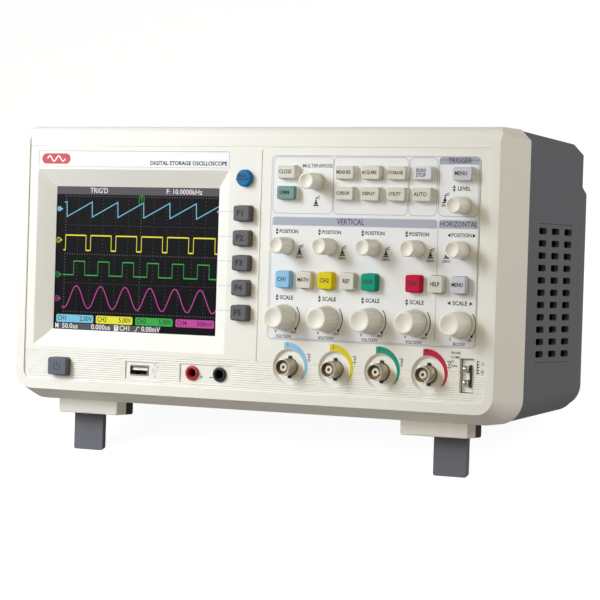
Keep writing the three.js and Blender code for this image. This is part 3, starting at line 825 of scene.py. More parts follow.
def key_face(node):
    """A key's corners without the flange that holds it behind the panel."""
    low, high = case_box(node)
    right = 0.6 if node in FUNCTION_KEYS else 1.5
    return low + Vector((1.5, 0, 1.5)), high - Vector((right, 0, 1.5))


class SCOPE_OT_front_bezel(Maker, bpy.types.Operator):
    """Build the cream front bezel with its recesses, ribs and openings"""

    bl_idname = "scope.front_bezel"
    bl_label = "Front Bezel"

    def execute(self, context):
        lip = mm(self.shape.lip)
        body = bezel_body(mm(self.shape.case_edge))
        carve(body, bezel_backing(), leg_blocks(), operation="UNION")
        carve(body, panel_cutter())
        carve(body, groove_cutters(mm(self.shape.rib_depth)))
        carve(body, *screen_cutter(), recess_cutters(lip))
        carve(body, hole_cutters(lip))
        finish({"cream": body}, "bezel", "case", ["front_bezel"], sharp=28,
               weighted=True)
        return {"FINISHED"}


def housing_section(bm, y, inset, bottom=None, top=None):
    """The rear housing's outline; its roof and floor close in towards the back."""
    along = max((y - SEAM - 0.4) / (REAR["y"] - SEAM - 0.4), 0)
    if top is None:
        bottom, top = inset + REAR["rise"] * along, CASE_HEIGHT - inset - REAR["fall"] * along
    return case_section(bm, y, SIDE["half_width"] - inset, bottom, top, SIDE["corner"] - inset)


def housing_vents():
    """Three columns of slots on each side, and a fine line above and below them."""
    cutter = bmesh.new()
    quarter = Matrix.Rotation(math.pi / 2, 4, "Z")
    low, high = VENT["z"], VENT["z"] + 10 * VENT["dz"]
    middle_y = VENT["y"] + VENT["dy"]
    for row in range(11):
        for column in range(3):
            block(cutter, VENT["y"] + VENT["dy"] * column, low + VENT["dz"] * row,
                  VENT["length"], VENT["height"], -HALF_WIDTH - 1, 1 - HALF_WIDTH + 4, 1.3, 4)
    for z in (low - 4.8, high + 4.2):
        block(cutter, middle_y, z, 48.4, 0.45, -HALF_WIDTH - 1, -HALF_WIDTH + 0.9)
    bmesh.ops.transform(cutter, matrix=quarter, verts=cutter.verts[:])
    other = bmesh.ops.duplicate(cutter, geom=cutter.verts[:] + cutter.edges[:] + cutter.faces[:])
    moved = [v for v in other["geom"] if isinstance(v, bmesh.types.BMVert)]
    bmesh.ops.scale(cutter, verts=moved, vec=(-1, 1, 1))
    return cutter


def rear_openings():
    """The fan's guard and the mains socket's window."""
    cutter = bmesh.new()
    fan, back = centre("fan_frame"), case_box("rear_housing")[1].y
    for i in range(-4, 5):
        rise = i * GUARD["pitch"]
        half = math.sqrt(GUARD["radius"] ** 2 - rise ** 2)
        block(cutter, fan.x, fan.z + rise, 2 * half, GUARD["slot"], back - 4, back + 2, 1.8)
    inlet = centre("mains_inlet")
    block(cutter, inlet.x, inlet.z, 28, 21, back - 6, back + 2, 1.5)
    return cutter


def rear_pads():
    """Two bevelled ribs under the back that the object stands on."""
    pads = bmesh.new()
    start, heel, back, low, high = 94, 104, 110.5, -5, 7
    corners = [(start, high), (start, low), (heel, low),
               (back, low + (back - heel) * math.tan(LEAN)), (back, high)]
    inner, width = 73, 24
    for side in (-1, 1):
        face = pads.faces.new([pads.verts.new((side * inner, y, z)) for y, z in corners])
        draw_out(pads, [face], (side * width, 0, 0))
    bmesh.ops.recalc_face_normals(pads, faces=pads.faces[:])
    return pads


class SCOPE_OT_rear_housing(Maker, bpy.types.Operator):
    """Build the grey rear housing with its vents, fan guard and standing pads"""

    bl_idname = "scope.rear_housing"
    bl_label = "Rear Housing"

    def execute(self, context):
        size = mm(self.shape.case_edge)
        start, inset = SEAM + 0.4, 0.5
        back = case_box("rear_housing")[1].y
        fold = back - 9.5
        body = bmesh.new()
        skin(body, [housing_section(body, y, inset) for y in (start, fold)])
        slope = REAR["fall"] / (REAR["y"] - start)
        cut_corners(body, inset, slope)
        round_folds(body, size, 20)
        bump = bmesh.new()
        skin(bump, [housing_section(bump, fold - 5, inset, BUMP["bottom"], BUMP["top"]),
                    housing_section(bump, fold, inset, BUMP["bottom"], BUMP["top"]),
                    housing_section(bump, back, BUMP["inset"], BUMP["bottom"] + 1.5,
                                    BUMP["top"] - 3.7)])
        round_folds(bump, size, 12, lambda e: max(v.co.y for v in e.verts) > fold - 1)
        collar = bmesh.new()
        lip = WALL + 0.3
        skin(collar, [housing_section(collar, y, lip) for y in (SEAM - 3.5, start + 4)])
        cut_corners(collar, lip)
        cavity, mouth, hollow = bmesh.new(), bmesh.new(), bmesh.new()
        inner = inset + WALL
        skin(cavity, [housing_section(cavity, y, inner) for y in (start + 4, fold - WALL)])
        cut_corners(cavity, inner, slope)
        skin(mouth, [housing_section(mouth, y, lip + 1.6) for y in (SEAM - 4.5, start + 5)])
        cut_corners(mouth, lip + 1.6)
        skin(hollow, [housing_section(hollow, y, inner + 2, 11, BUMP["top"] - 5)
                      for y in (fold - 6, back - WALL)])
        carve(body, bump, collar, rear_pads(), operation="UNION")
        carve(body, cavity, mouth, hollow)
        carve(body, housing_vents(), rear_openings())
        finish({"housing": body}, "rear_shell", "case", ["rear_housing"],
               sharp=24, weighted=True)
        return {"FINISHED"}


# ---- printing on the bezel ----
def triangle(bm, x, z, size, direction, surface):
    """A small printed arrowhead: up, down, left or right."""
    quarter = {"right": 0, "up": 1, "left": 2, "down": 3}[direction]
    points = []
    for step in (0, 1, 2):
        a = quarter * math.pi / 2 + step * math.tau / 3
        points.append((x + size * math.cos(a), z + size * math.sin(a)))
    polygon(bm, points, surface)


def channel_band(bm, x, z):
    """The coloured crescent round an input, square at the top and tapering to a point."""
    inner, width, end, steps = 10.9, 3.9, math.radians(-38), 26
    left = -2.9
    rails = []
    for i in range(steps + 1):
        t = 1 - i / steps
        rail = []
        for radius, reach in ((inner, inner), (inner + width, inner + max(width * t ** 0.62, 0.03))):
            start = math.acos(left / radius)
            a = end + (start - end) * t
            rail.append(bm.verts.new((x + reach * math.cos(a), -INK * 2, z + reach * math.sin(a))))
        rails.append(rail)
    faces = [bm.faces.new((a[0], b[0], b[1], a[1])) for a, b in zip(rails, rails[1:])]
    thicken(bm, faces, INK * 2)


def press_symbol(bm, x, z, surface):
    """Printed push-button symbol: a button on its base, and a finger above it."""
    for wide, low, narrow, high in ((1.75, -2.5, 1.5, -1.7), (1.15, -1.5, 0.7, 0.1)):
        polygon(bm, [(x - wide, z + low), (x + wide, z + low), (x + narrow, z + high),
                     (x - narrow, z + high)], surface)
    patch(bm, x, z + 0.75, 1.1, 1.0, surface, 0.4)
    stroke(bm, [(x + 2.6, z + 3.3), (x + 0.9, z + 2.7), (x - 0.3, z + 1.7)], 0.38, surface)
    stroke(bm, [(x - 0.3, z + 1.75), (x + 0.9, z + 1.9), (x + 2.4, z + 2.1)], 0.38, surface)


class SCOPE_OT_markings(Maker, bpy.types.Operator):
    """Print the bezel's badge, title, channel bands and symbols"""

    bl_idname = "scope.markings"
    bl_label = "Markings"

    def execute(self, context):
        self.name_plate()
        self.bands()
        self.symbols()
        return {"FINISHED"}

    def name_plate(self):
        coats = Coats()
        x, z, width, height = between(*sides(NAME_PLATE), -0.15)
        block(coats["plate"], x, z, width, height, 0.1, 0.4, 0.5)
        outline(coats["line_ink"], (x, z, width, height), 0.1, 0.6, 0.25)
        letters(coats["ink"], "DIGITAL STORAGE OSCILLOSCOPE", NAME_PLATE["right"] - 1.7, 144.7,
                0.1, 2.45, 1.02, "RIGHT", 0.1)
        badge_x, badge_z = -136.9, 147.1
        patch(coats["badge"], badge_x, badge_z, 21, 6.3, 0.1, 3.1, 6)
        wave = [(badge_x + 6.6 * t, badge_z + 1.6 * math.sin(t * math.tau))
                for t in (i / 30 * 2 - 1 for i in range(31))]
        stroke(coats["white_ink"], wave, 0.8, 0.1 - INK)
        finish(coats, "name_plate", "case")

    def bands(self):
        coats = Coats()
        for i, (node, tone) in enumerate(zip(INPUTS, CHANNEL_TONES)):
            middle = centre(node)
            channel_band(coats[f"{tone}_ink"], middle.x - 0.3, middle.z - 0.3)
            letters(coats["ink"], str(i + 1), middle.x - 0.9, middle.z + 12.9, -INK * 2, 2.4, 1,
                    "CENTER", 0.02)
        finish(coats, "channel_bands", "case")

    def symbols(self):
        coats = Coats()
        bm, pale = coats["ink"], coats["pale_ink"]
        for node in INPUTS:
            middle = centre(node)
            x, z = middle.x + 13.0, middle.z + 7.0
            outline(bm, (x + 0.5, z, 1.3, 2.3), 0, 0.2, 0.35)
            for x0, z0, x1, z1 in ((-1.2, 0.9, 0, 0.9), (-1.0, -2.4, 1.6, -2.4),
                                   (-0.3, -3.3, 0.9, -3.3), (0.3, -1.1, 0.3, -2.4)):
                stroke(bm, [(x + x0, z + z0), (x + x1, z + z1)], 0.35, 0)
        probe = PROBE_POCKET
        for i, words in enumerate(("PROBE", "COMP", "3V", "1kHz")):
            letters(bm, words, probe["left"] - 5.8, probe["high"] + 2.9 - 2.4 * i, 0, 1.5, 0.95,
                    "LEFT", 0.02)
        x, z = probe["right"] + 2.6, probe["high"] - 4.5
        for step in range(5):
            stroke(bm, [(x - 0.9, z + 3.2 - 1.6 * step), (x + 0.6, z + 3.2 - 1.6 * step)], 0.7, 0)
        stroke(bm, [(x - 0.7, z + 3.6), (x - 0.7, z - 3.6)], 0.4, 0)
        square = [(-1.5, -1), (-0.7, -1), (-0.7, 1), (0.6, 1), (0.6, -1), (1.4, -1)]
        stroke(bm, [(x + 2.7 + dx * 0.8, z + 2 + dz * 0.8) for dx, dz in square], 0.25, 0)
        for i, half in enumerate((1.2, 0.8, 0.4)):
            stroke(bm, [(x + 2.6 - half, z - 2.2 - 0.7 * i), (x + 2.6 + half, z - 2.2 - 0.7 * i)],
                   0.25, 0)
        stroke(bm, [(x + 2.6, z - 0.6), (x + 2.6, z - 2.2)], 0.25, 0)
        red, black = centre("output_jack_red"), centre("output_jack_black")
        x, z = red.x + 6.1, red.z - 2
        stroke(bm, [(x - 1, z), (x + 1, z)], 0.45, 0.8)
        stroke(bm, [(x, z - 1), (x, z + 1)], 0.45, 0.8 - INK)
        stroke(bm, [(black.x - 7.2, z), (black.x - 5.3, z)], 0.5, 0.8)
        self.trident(pale, case_box("usb_port")[1].x + 4.6, centre("usb_port").z)
        for node in SOFT_KEYS:
            low, high = key_face(node)
            z = (low.z + high.z) / 2 + 1
            edge = SCREEN["x"] + SCREEN["width"] / 2
            brink = edge + SCREEN["slope"]
            stroke(pale, [(brink + 0.6, z), (low.x - 0.7, z)], 0.3, 0)
            face = pale.faces.new([pale.verts.new((x, y - INK, z + dz)) for x, y, dz in (
                (edge + 0.3, SCREEN["depth"] - 0.2, -0.15), (brink - 0.2, 0.1, -0.15),
                (brink - 0.2, 0.1, 0.15), (edge + 0.3, SCREEN["depth"] - 0.2, 0.15))])
            thicken(pale, [face], INK)
        finish(coats, "panel_print", "case")

    def trident(self, bm, x, z):
        """A three-pronged data-port symbol."""
        depth = 0.8
        stroke(bm, [(x, z - 3.2), (x, z + 4)], 0.3, depth)
        stroke(bm, [(x, z - 1.6), (x - 1.6, z - 0.3), (x - 1.6, z + 0.6)], 0.3, depth)
        stroke(bm, [(x, z - 0.6), (x + 1.9, z + 0.9), (x + 1.9, z + 2.4)], 0.3, depth)
        patch(bm, x - 1.6, z + 0.9, 0.9, 0.9, depth, 0.4)
        patch(bm, x + 1.9, z + 2.6, 0.9, 0.9, depth)
        patch(bm, x, z - 3.3, 1.1, 1.1, depth, 0.5)
        triangle(bm, x, z + 4.1, 0.8, "up", depth)


# ---- the control label ----
LABEL_BOX = case_box("control_overlay")
COLUMN_X = [centre(f"vertical_scale_knob_{i}").x for i in range(1, 5)]
BLOCKS = [(17.0, 56.9), (56.9, 105.2), (105.7, 123.5), (124.3, 149.2)]
BLOCK_Z = (116.3, 149.3)
HEADINGS = [("TRIGGER", 124.3, 149.2, 145.4, 149.6), ("VERTICAL", 17.4, 124.2, 109.5, 114.4),
            ("HORIZONTAL", 124.9, 149.2, 109.6, 114.4)]


def arrows(bm, x, z, sideways, spacing):
    """A pair of printed arrowheads, up and down or left and right."""
    for side, directions in ((1, ("right", "up")), (-1, ("left", "down"))):
        reach = side * spacing / 2
        if sideways:
            triangle(bm, x + reach, z, 1.3, directions[0], LABEL_FACE)
        else:
            triangle(bm, x, z + reach, 1.15, directions[1], LABEL_FACE)


class SCOPE_OT_control_overlay(Maker, bpy.types.Operator):
    """Build the light grey control label and its printing"""

    bl_idname = "scope.control_overlay"
    bl_label = "Control Label"

    def execute(self, context):
        sheet = bmesh.new()
        x, z, width, height = box_place(LABEL_BOX)
        skin(sheet, [section(sheet, y, x, z, width - 2 * g, height - 2 * g, 3.4 - g, 6)
                     for y, g in ((LABEL_FACE, 0.12), (LABEL_FACE + 0.1, 0), (-0.05, 0))])
        holes = bmesh.new()
        for node in ON_LABEL:
            middle = centre(node)
            if node in KNOBS:
                rod(holes, middle.x, middle.z, SHAFT_HOLE, -2, 2, 16)
            else:
                block(holes, *box_place(key_face(node), KEY_GAP), -2, 2, 1.5)
        carve(sheet, holes)
        finish({"label": sheet}, "control_label", "case", ["control_overlay"],
               weighted=True)
        print_coats = Coats()
        self.boxes(print_coats)
        self.legends(print_coats)
        finish(print_coats, "label_print", "case")
        return {"FINISHED"}

    def boxes(self, coats):
        """The ruled lines, and the heading bars with their words."""
        line = coats["line_ink"]
        outline(line, box_place(LABEL_BOX, -0.25), LABEL_FACE, 3.2, 0.35)
        for left, right in BLOCKS:
            outline(line, between(left, right, *BLOCK_Z), LABEL_FACE, 3.2, 0.35)
        for words, left, right, bottom, top in HEADINGS:
            x, z, width, height = between(left, right, bottom, top)
            patch(coats["heading"], x, z + 0.4, width, height - 0.8, LABEL_FACE - 0.01, 1.9)
            patch(coats["heading"], x, bottom + height * 0.3, width, height * 0.6,
                  LABEL_FACE - 0.005)
            size, shift = (3.3, -2) if words == "VERTICAL" else (3.0, 0.3)
            letters(coats["navy_ink"], words, x + shift, z, LABEL_FACE - INK - 0.01, size, 0.88,
                    heavy=0.05)
        stroke(line, [(124.6, 46.5), (124.6, 109.5)], 0.35, LABEL_FACE)
        left, right = 17.0, 149.6
        for side in (left, right):
            stroke(line, [(side, 47), (side, 109.5)], 0.3, LABEL_FACE)
        stroke(line, [(left + 3, 44.2), (121.8, 44.2)], 0.3, LABEL_FACE)
        stroke(line, [(127.6, 44.2), (right - 3, 44.2)], 0.3, LABEL_FACE)

    def legends(self, coats):
        """The words and symbols round the knobs."""
        ink, words = coats["ink"], coats["legend_ink"]
        level = centre("trigger_level_knob")
        letters(words, "LEVEL", level.x + 0.3, level.z + 9.3, LABEL_FACE, 2.3, 1.0, heavy=0.08)
        arrows(ink, level.x - 5.9, level.z + 9.4, False, 1.7)
        press_symbol(ink, level.x - 11.4, level.z + 3.6, LABEL_FACE)
        letters(ink, "50%", level.x - 12.0, level.z - 0.2, LABEL_FACE, 1.4, 0.95, heavy=0.03)
        multi = centre("multipurpose_knob")
        letters(words, "MULTIPURPOSE", multi.x + 0.2, multi.z + 8.9, LABEL_FACE, 2.15, 0.97,
                heavy=0.03)
        press_symbol(ink, multi.x - 0.2, multi.z - 11.6, LABEL_FACE)
        for i, x in enumerate(COLUMN_X):
            z = centre(f"vertical_position_knob_{i + 1}").z
            self.knob_words(coats, x, z + 8.1, "POSITION", False)
            self.zero_mark(coats, x + 8.7, z - 2.6)
            self.scale_words(coats, x, centre(f"vertical_scale_knob_{i + 1}").z, "VOLTS/DIV",
                             ("V", "mV"))
        far = centre("horizontal_position_knob")
        letters(words, "POSITION", far.x - 0.4, far.z + 8.1, LABEL_FACE, 2.2, 0.93, heavy=0.06)
        arrows(ink, far.x - 0.4, far.z + 8.1, True, 15.0)
        self.zero_mark(coats, far.x - 9.4, far.z - 2.6)
        wide = centre("horizontal_scale_knob")
        letters(words, "SCALE", wide.x - 0.1, wide.z + 11.7, LABEL_FACE, 2.4, 0.97, heavy=0.08)
        arrows(ink, wide.x - 0.1, wide.z + 11.7, True, 13.2)
        self.scale_words(coats, wide.x, wide.z, "SEC/DIV", ("S", "nS"), False)

    def zero_mark(self, coats, x, z):
        press_symbol(coats["ink"], x, z, LABEL_FACE)
        letters(coats["legend_ink"], "ZERO", x, z - 4.0, LABEL_FACE, 1.5, 0.95, heavy=0.05)

    def knob_words(self, coats, x, z, words, scale):
        size, wide, shift = (2.4, 0.97, 1.1) if scale else (2.2, 0.93, 1.3)
        letters(coats["legend_ink"], words, x + shift, z, LABEL_FACE, size, wide, heavy=0.08)
        arrows(coats["ink"], x - (5.3 if scale else 6.6), z, False, 1.7)

    def scale_words(self, coats, x, z, unit, ends, heading=True):
        if heading:
            self.knob_words(coats, x, z + 11.3, "SCALE", True)
        ink = coats["ink"]
        letters(coats["legend_ink"], unit, x - 0.1, z - 11.1, LABEL_FACE, 1.8, 0.88, heavy=0.05)
        letters(ink, ends[0], x - 5.6, z - 8.4, LABEL_FACE, 1.8, heavy=0.04)
        letters(ink, ends[1], x + 6.4, z - 8.4, LABEL_FACE, 1.8, heavy=0.04)
        radius = 10
        path = [(x + radius * math.cos(a), z + radius * math.sin(a))
                for a in (math.radians(38 - 6 * i) for i in range(14))]
        stroke(ink, path, 0.55, LABEL_FACE)
        patch(ink, *path[-1], 1.5, 1.5, LABEL_FACE - 0.01, 0.7)


# ---- keys ----
FLANGE = 1.1  # how thick the flange behind a key is
KEY_FINISH = {
    "power_button": ("power_key", "key_dark"),
    "dmm_key": ("sage_key", "key_sage"),
    "run_stop_key": ("pale_key", "key_lilac"),
    "trigger_menu_key": ("lilac_key", "key_lilac"),
    "horizontal_menu_key": ("lilac_key", "key_lilac"),
    "ch1_key": ("blue", "key_sky"),
    "ch2_key": ("yellow", "key_yellow"),
    "ch3_key": ("green", "key_green"),
    "ch4_key": ("crimson", "key_crimson"),
    **{node: ("dark_key", "key_dark") for node in SOFT_KEYS},
}


def key_body(bm, node, corner, edge):
    """A keycap with a rounded front edge, slightly tapering sides and its flange behind."""
    low = key_face(node)[0]
    x, z, width, height = box_place(key_face(node))
    rows = [(low.y + edge * (1 - math.sin(math.radians(t))), edge * (1 - math.cos(math.radians(t))))
            for t in (90, 68, 45, 22, 0)]
    high = case_box(node)[1]
    flange_front = high.y - FLANGE
    faces = [section(bm, y, x, z, width - 0.1 - 2 * g, height - 0.1 - 2 * g, max(corner - g, 0.3))
             for y, g in rows]
    faces.append(section(bm, flange_front, x, z, width, height, corner))
    for y in (flange_front, high.y):
        faces.append(section(bm, y, *box_place(case_box(node)), corner))
    skin(bm, faces)
    return centre(node).x, z, low.y


class SCOPE_OT_keys(Maker, bpy.types.Operator):
    """Build the keycaps, each with its legend"""

    bl_idname = "scope.keys"
    bl_label = "Keys"

    def execute(self, context):
        corner, edge = mm(self.shape.key_corner), mm(self.shape.key_edge)
        legends = {**FUNCTION_KEYS, **SQUARE_KEYS}
        legends.update({node: f"F{i + 1}" for i, node in enumerate(SOFT_KEYS)})
        for node in BUTTONS:
            tone, slot = KEY_FINISH.get(node, ("cream_key", "key_cream"))
            coats = Coats()
            x, z, front = key_body(coats[tone], node, corner, edge)
            if node == "power_button":
                self.power_symbol(coats["ink"], x, z, front)
            else:
                self.legend(coats["ink"], node, legends[node], x, z, front)
            finish(coats, f"{node}_cap", node, [node], weighted=True)
        self.menu_button()
        return {"FINISHED"}

    def legend(self, bm, node, words, x, z, front):
        if node in SOFT_KEYS:
            letters(bm, words, x - 0.5, z, front, 3.4, 1.15, heavy=0.16)
        elif node in SQUARE_KEYS:
            size = 2.6 if node.startswith("ch") else 2.4
            letters(bm, words, x - 0.2, z, front, size, 0.9 if len(words) < 4 else 0.8,
                    heavy=0.07)
        else:
            size = 2.3 if len(words) < 6 or "\n" in words else 2.0
            letters(bm, words, x - 0.2, z, front, size, 0.9 if len(words) < 6 else 0.8,
                    heavy=0.06)

    def power_symbol(self, bm, x, z, front):
        ring = [(x + 2.2 * math.sin(a), z - 0.2 + 2.2 * math.cos(a))
                for a in (math.radians(38 + 284 * i / 22) for i in range(23))]
        stroke(bm, ring, 0.42, front)
        stroke(bm, [(x, z + 0.2), (x, z + 2.6)], 0.42, front)

    def menu_button(self):
        coats = Coats()
        low, high = case_box("menu_on_off_button")
        x, z, radius = centre("menu_on_off_button").x, centre("menu_on_off_button").z, MENU_RADIUS
        flange = high.x - x
        edge = 0.9
        profile = [(0, low.y), *arc(radius - edge, low.y + edge, edge, -90, 0, 5),
                   (radius, high.y - FLANGE), (flange, high.y - FLANGE), (flange, high.y),
                   (0, high.y)]
        turn(coats["menu_blue"], x, z, profile, 56)
        letters(coats["ink"], "MENU\nON/OFF", x - 0.5, z + 0.2, low.y, 1.8, 0.95, heavy=0.09)
        finish(coats, "menu_button_cap", "menu_on_off_button",
               ["menu_on_off_button"], weighted=True)


# ---- knobs ----
def knob_body(bm, node, dish, flute):
    """A knob with a dished front, fluted sides and a shaft behind."""
    low, high = case_box(node)
    middle = centre(node)
    large = node in SCALE_KNOBS
    base = 7.7 if large else 5.1
    front = 6.5 if large else 4.8
    rim = 1.0 if large else 0.8
    skirt_back = -0.8
    skirt = 2.2 if large else 1.2
    reach = front * 0.78
    profile = [(reach * t, low.y + 0.05 + dish * (1 - t * t)) for t in (0, 0.25, 0.5, 0.75, 0.92)]
    profile += arc(front - rim, low.y + rim, rim, -108, 0, 7)
    sides = 7
    for i in range(1, sides + 1):
        t = i / sides
        y = low.y + rim + (skirt_back - skirt - low.y - rim) * t
        bulge = (base - front - 0.35) * (t ** 1.6)
        profile.append((front + bulge, y))
    profile += [(base, skirt_back - skirt * 0.55), (base, skirt_back), (3, skirt_back),
                (3, high.y), (0, high.y)]
    steps = 96 if large else 72
    made = turn(bm, middle.x, middle.z, profile, steps)
    teeth = 24 if large else 18
    near, far = low.y + rim + 0.4, skirt_back - skirt * 0.8
    for vert in made:
        dx, dz = vert.co.x - middle.x, vert.co.z - middle.z
        if math.hypot(dx, dz) < front - 0.3 or not near < vert.co.y < far:
            continue
        wave = math.cos(math.atan2(dz, dx) * teeth)
        shrink = 1 - flute * max(-wave, 0) / front
        vert.co.x = middle.x + dx * shrink
        vert.co.z = middle.z + dz * shrink


class SCOPE_OT_knobs(Maker, bpy.types.Operator):
    """Build the turning knobs"""

    bl_idname = "scope.knobs"
    bl_label = "Knobs"

    def execute(self, context):
        for node in KNOBS:
            bm = bmesh.new()
            knob_body(bm, node, mm(self.shape.knob_dish), mm(self.shape.flute_depth))
            finish({"knob": bm}, f"{node}_grip", node, [node], sharp=50)
        return {"FINISHED"}


# ---- sockets ----
class SCOPE_OT_sockets(Maker, bpy.types.Operator):
    """Build the four input sockets, the jacks, the data port and the probe terminals"""

    bl_idname = "scope.sockets"
    bl_label = "Sockets"

    def execute(self, context):
        for node in INPUTS:
            self.input_socket(node)
        self.jack("output_jack_red", "red", "red_plastic")
        self.jack("output_jack_black", "black", "black_plastic")
        self.data_port()
        self.probe_terminals()
        return {"FINISHED"}

    def input_socket(self, node):
        """A bayonet socket: barrel with two lugs, white insulator and centre contact."""
        middle, low = centre(node), case_box(node)[0]
        x, z = middle.x, middle.z
        front, seat, radius = low.y, POCKET["depth"], 4.9
        coats = Coats()
        bore, lip = 4.15, front + 0.9
        profile = [(bore, -2.0), (bore, lip), (radius - 0.25, lip), (radius - 0.25, front + 1.5),
                   (radius, front + 1.9), (radius, front + 3.2), (radius - 0.2, front + 3.5),
                   (radius - 0.2, front + 5.3), (radius, front + 5.6), (radius, 14), (0, 14),
                   (0, -2.0), (bore, -2.0)]
        turn(coats["nickel"], x, z, profile, 64)
        # The front rim is a painted highlight: the barrel's nickel given a lighter, less metallic
        # coat, for the bright ring its edge reflects.
        profile = [(bore, lip), (bore, front + 0.2), *arc(bore + 0.2, front + 0.2, 0.2, 180, 270, 3),
                   *arc(radius - 0.5, front + 0.25, 0.25, -90, 0, 3), (radius - 0.25, lip),
                   (bore, lip)]
        turn(coats["rim_metal_with_painted_highlight"], x, z, profile, 64)
        for side in (-1, 1):
            lug = rod(coats["bright"], 0, 0, 0.8, 0, 1.3, 16)
            bmesh.ops.rotate(coats["bright"], verts=lug, cent=(0, 0, 0),
                             matrix=Matrix.Rotation(-side * math.pi / 2, 3, "X"))
            bmesh.ops.translate(coats["bright"], verts=lug,
                                vec=(x, front + 4.4, z + side * (radius - 0.65)))
            # The black blocks above and below the barrel are painted shade: they stand for the dark
            # notches beside the lugs.
            block(coats["black"], x, z + side * (radius + 0.75), 2.3, 1.7, seat - 0.5, seat + 0.2,
                  0.3)
        turn(coats["insulator"], x, z, [
            (1.05, front + 1.6), (2.1, front + 1.6), (2.35, front + 1.9), (2.35, -2.05),
            (0, -2.05), (0, front + 3.4), (1.05, front + 3.4), (1.05, front + 1.6)], 32)
        turn(coats["contact"], x, z, [
            (0.45, front + 2.1), (0.8, front + 2.1), (0.85, front + 2.3), (0.85, front + 3.2),
            (0, front + 3.2), (0, front + 3.0), (0.45, front + 3.0), (0.45, front + 2.1)], 24)
        finish(coats, f"{node}_shell", "case", [node])

    def jack(self, node, tone, slot):
        """A shrouded test-lead jack with a metal sleeve inside, drawn black as painted shade of its
        deep bore.
        """
        middle = centre(node)
        x, z, front = middle.x, middle.z, case_box(node)[0].y
        coats = Coats()
        profile = [(2.3, 10.9), (2.3, front + 1.3), (2.75, front + 0.3), (3.0, front)]
        profile += arc(3.9, front + 0.5, 0.5, -90, 0, 4)
        profile += [(4.4, 0.35), (3.85, 0.35), (3.85, WALL + 0.3), (6.2, WALL + 0.3), (6.2, 6),
                    (3.85, 6), (3.85, 14), (0, 14), (0, 10.9), (2.3, 10.9)]
        turn(coats[tone], x, z, profile, 48)
        # The sleeve deep in the bore is black: painted shade standing for its metal in shadow.
        turn(coats["black"], x, z, [(2.0, front + 2.4), (2.25, front + 2.4), (2.25, 10.8),
                                    (0, 10.8), (0, 10.4), (2.0, 10.4), (2.0, front + 2.4)], 32)
        finish(coats, f"{node}_shroud", "case", [node])

    def data_port(self):
        """A square data socket: metal shell, white tongue and four contacts."""
        low, high = case_box("usb_port")
        x, z, width, height = box_place((low, high))
        coats = Coats()
        shell = coats["bright"]
        block(shell, x, z, width, height, low.y + 0.6, high.y, 0.5)
        hollow = bmesh.new()
        block(hollow, x, z, width - 0.9, height - 0.9, low.y - 1, high.y - 2, 0.3)
        carve(shell, hollow)
        block(coats["insulator"], x + 0.6, z + 0.9, width - 3.0, 1.5, 1.0, high.y - 2.1, 0.2)
        for i in range(4):
            block(coats["gold"], x + 0.6 + (i - 1.5) * 2.3, z + 0.07, 1.1, 0.14, 1.3, high.y - 3)
        # The thin black sheet at the back of the hollow is painted shade of the deep opening.
        block(coats["black"], x, z, width - 1.1, height - 1.1, high.y - 2.2, high.y - 2.05)
        finish(coats, "data_port", "case", ["usb_port"])

    def probe_terminals(self):
        """Two metal clips with ball ends, standing on a plate in their pocket."""
        place = box_place(case_box("probe_terminals"), -0.1)
        x, z = place[:2]
        coats = Coats()
        block(coats["cream"], *place, 2.4, 7.8, 0.4)
        for side in (-1, 1):
            ball_z = z + side * 3.9
            block(coats["bright"], x - 0.3, ball_z, 3.6, 3.8, 1.5, 2.5, 0.7)
            turn(coats["bright"], x - 0.9, ball_z,
                 [(0, -1.75), *arc(0, 0.25, 2.0, -75, 60, 10), (0.9, 2.4)], 32)
        # The black bar right of the clips is painted shade: it stands for the dark slot there.
        block(coats["black"], x + 1.7, z, 0.7, 12.6, 0.9, 2.5, 0.15)
        finish(coats, "probe_clips", "case", ["probe_terminals"])


# ---- display ----
SCREEN_FACE = SCREEN["depth"] + 0.6
GRID = {"left": 0.058, "right": 0.998, "low": 0.125, "high": 0.932}  # shares of the screen


def on_screen(u, v):
    """The point at a share u of the screen's width and v of its height."""
    return (SCREEN["x"] + (u - 0.5) * SCREEN["width"], SCREEN["z"] + (v - 0.5) * SCREEN["height"])


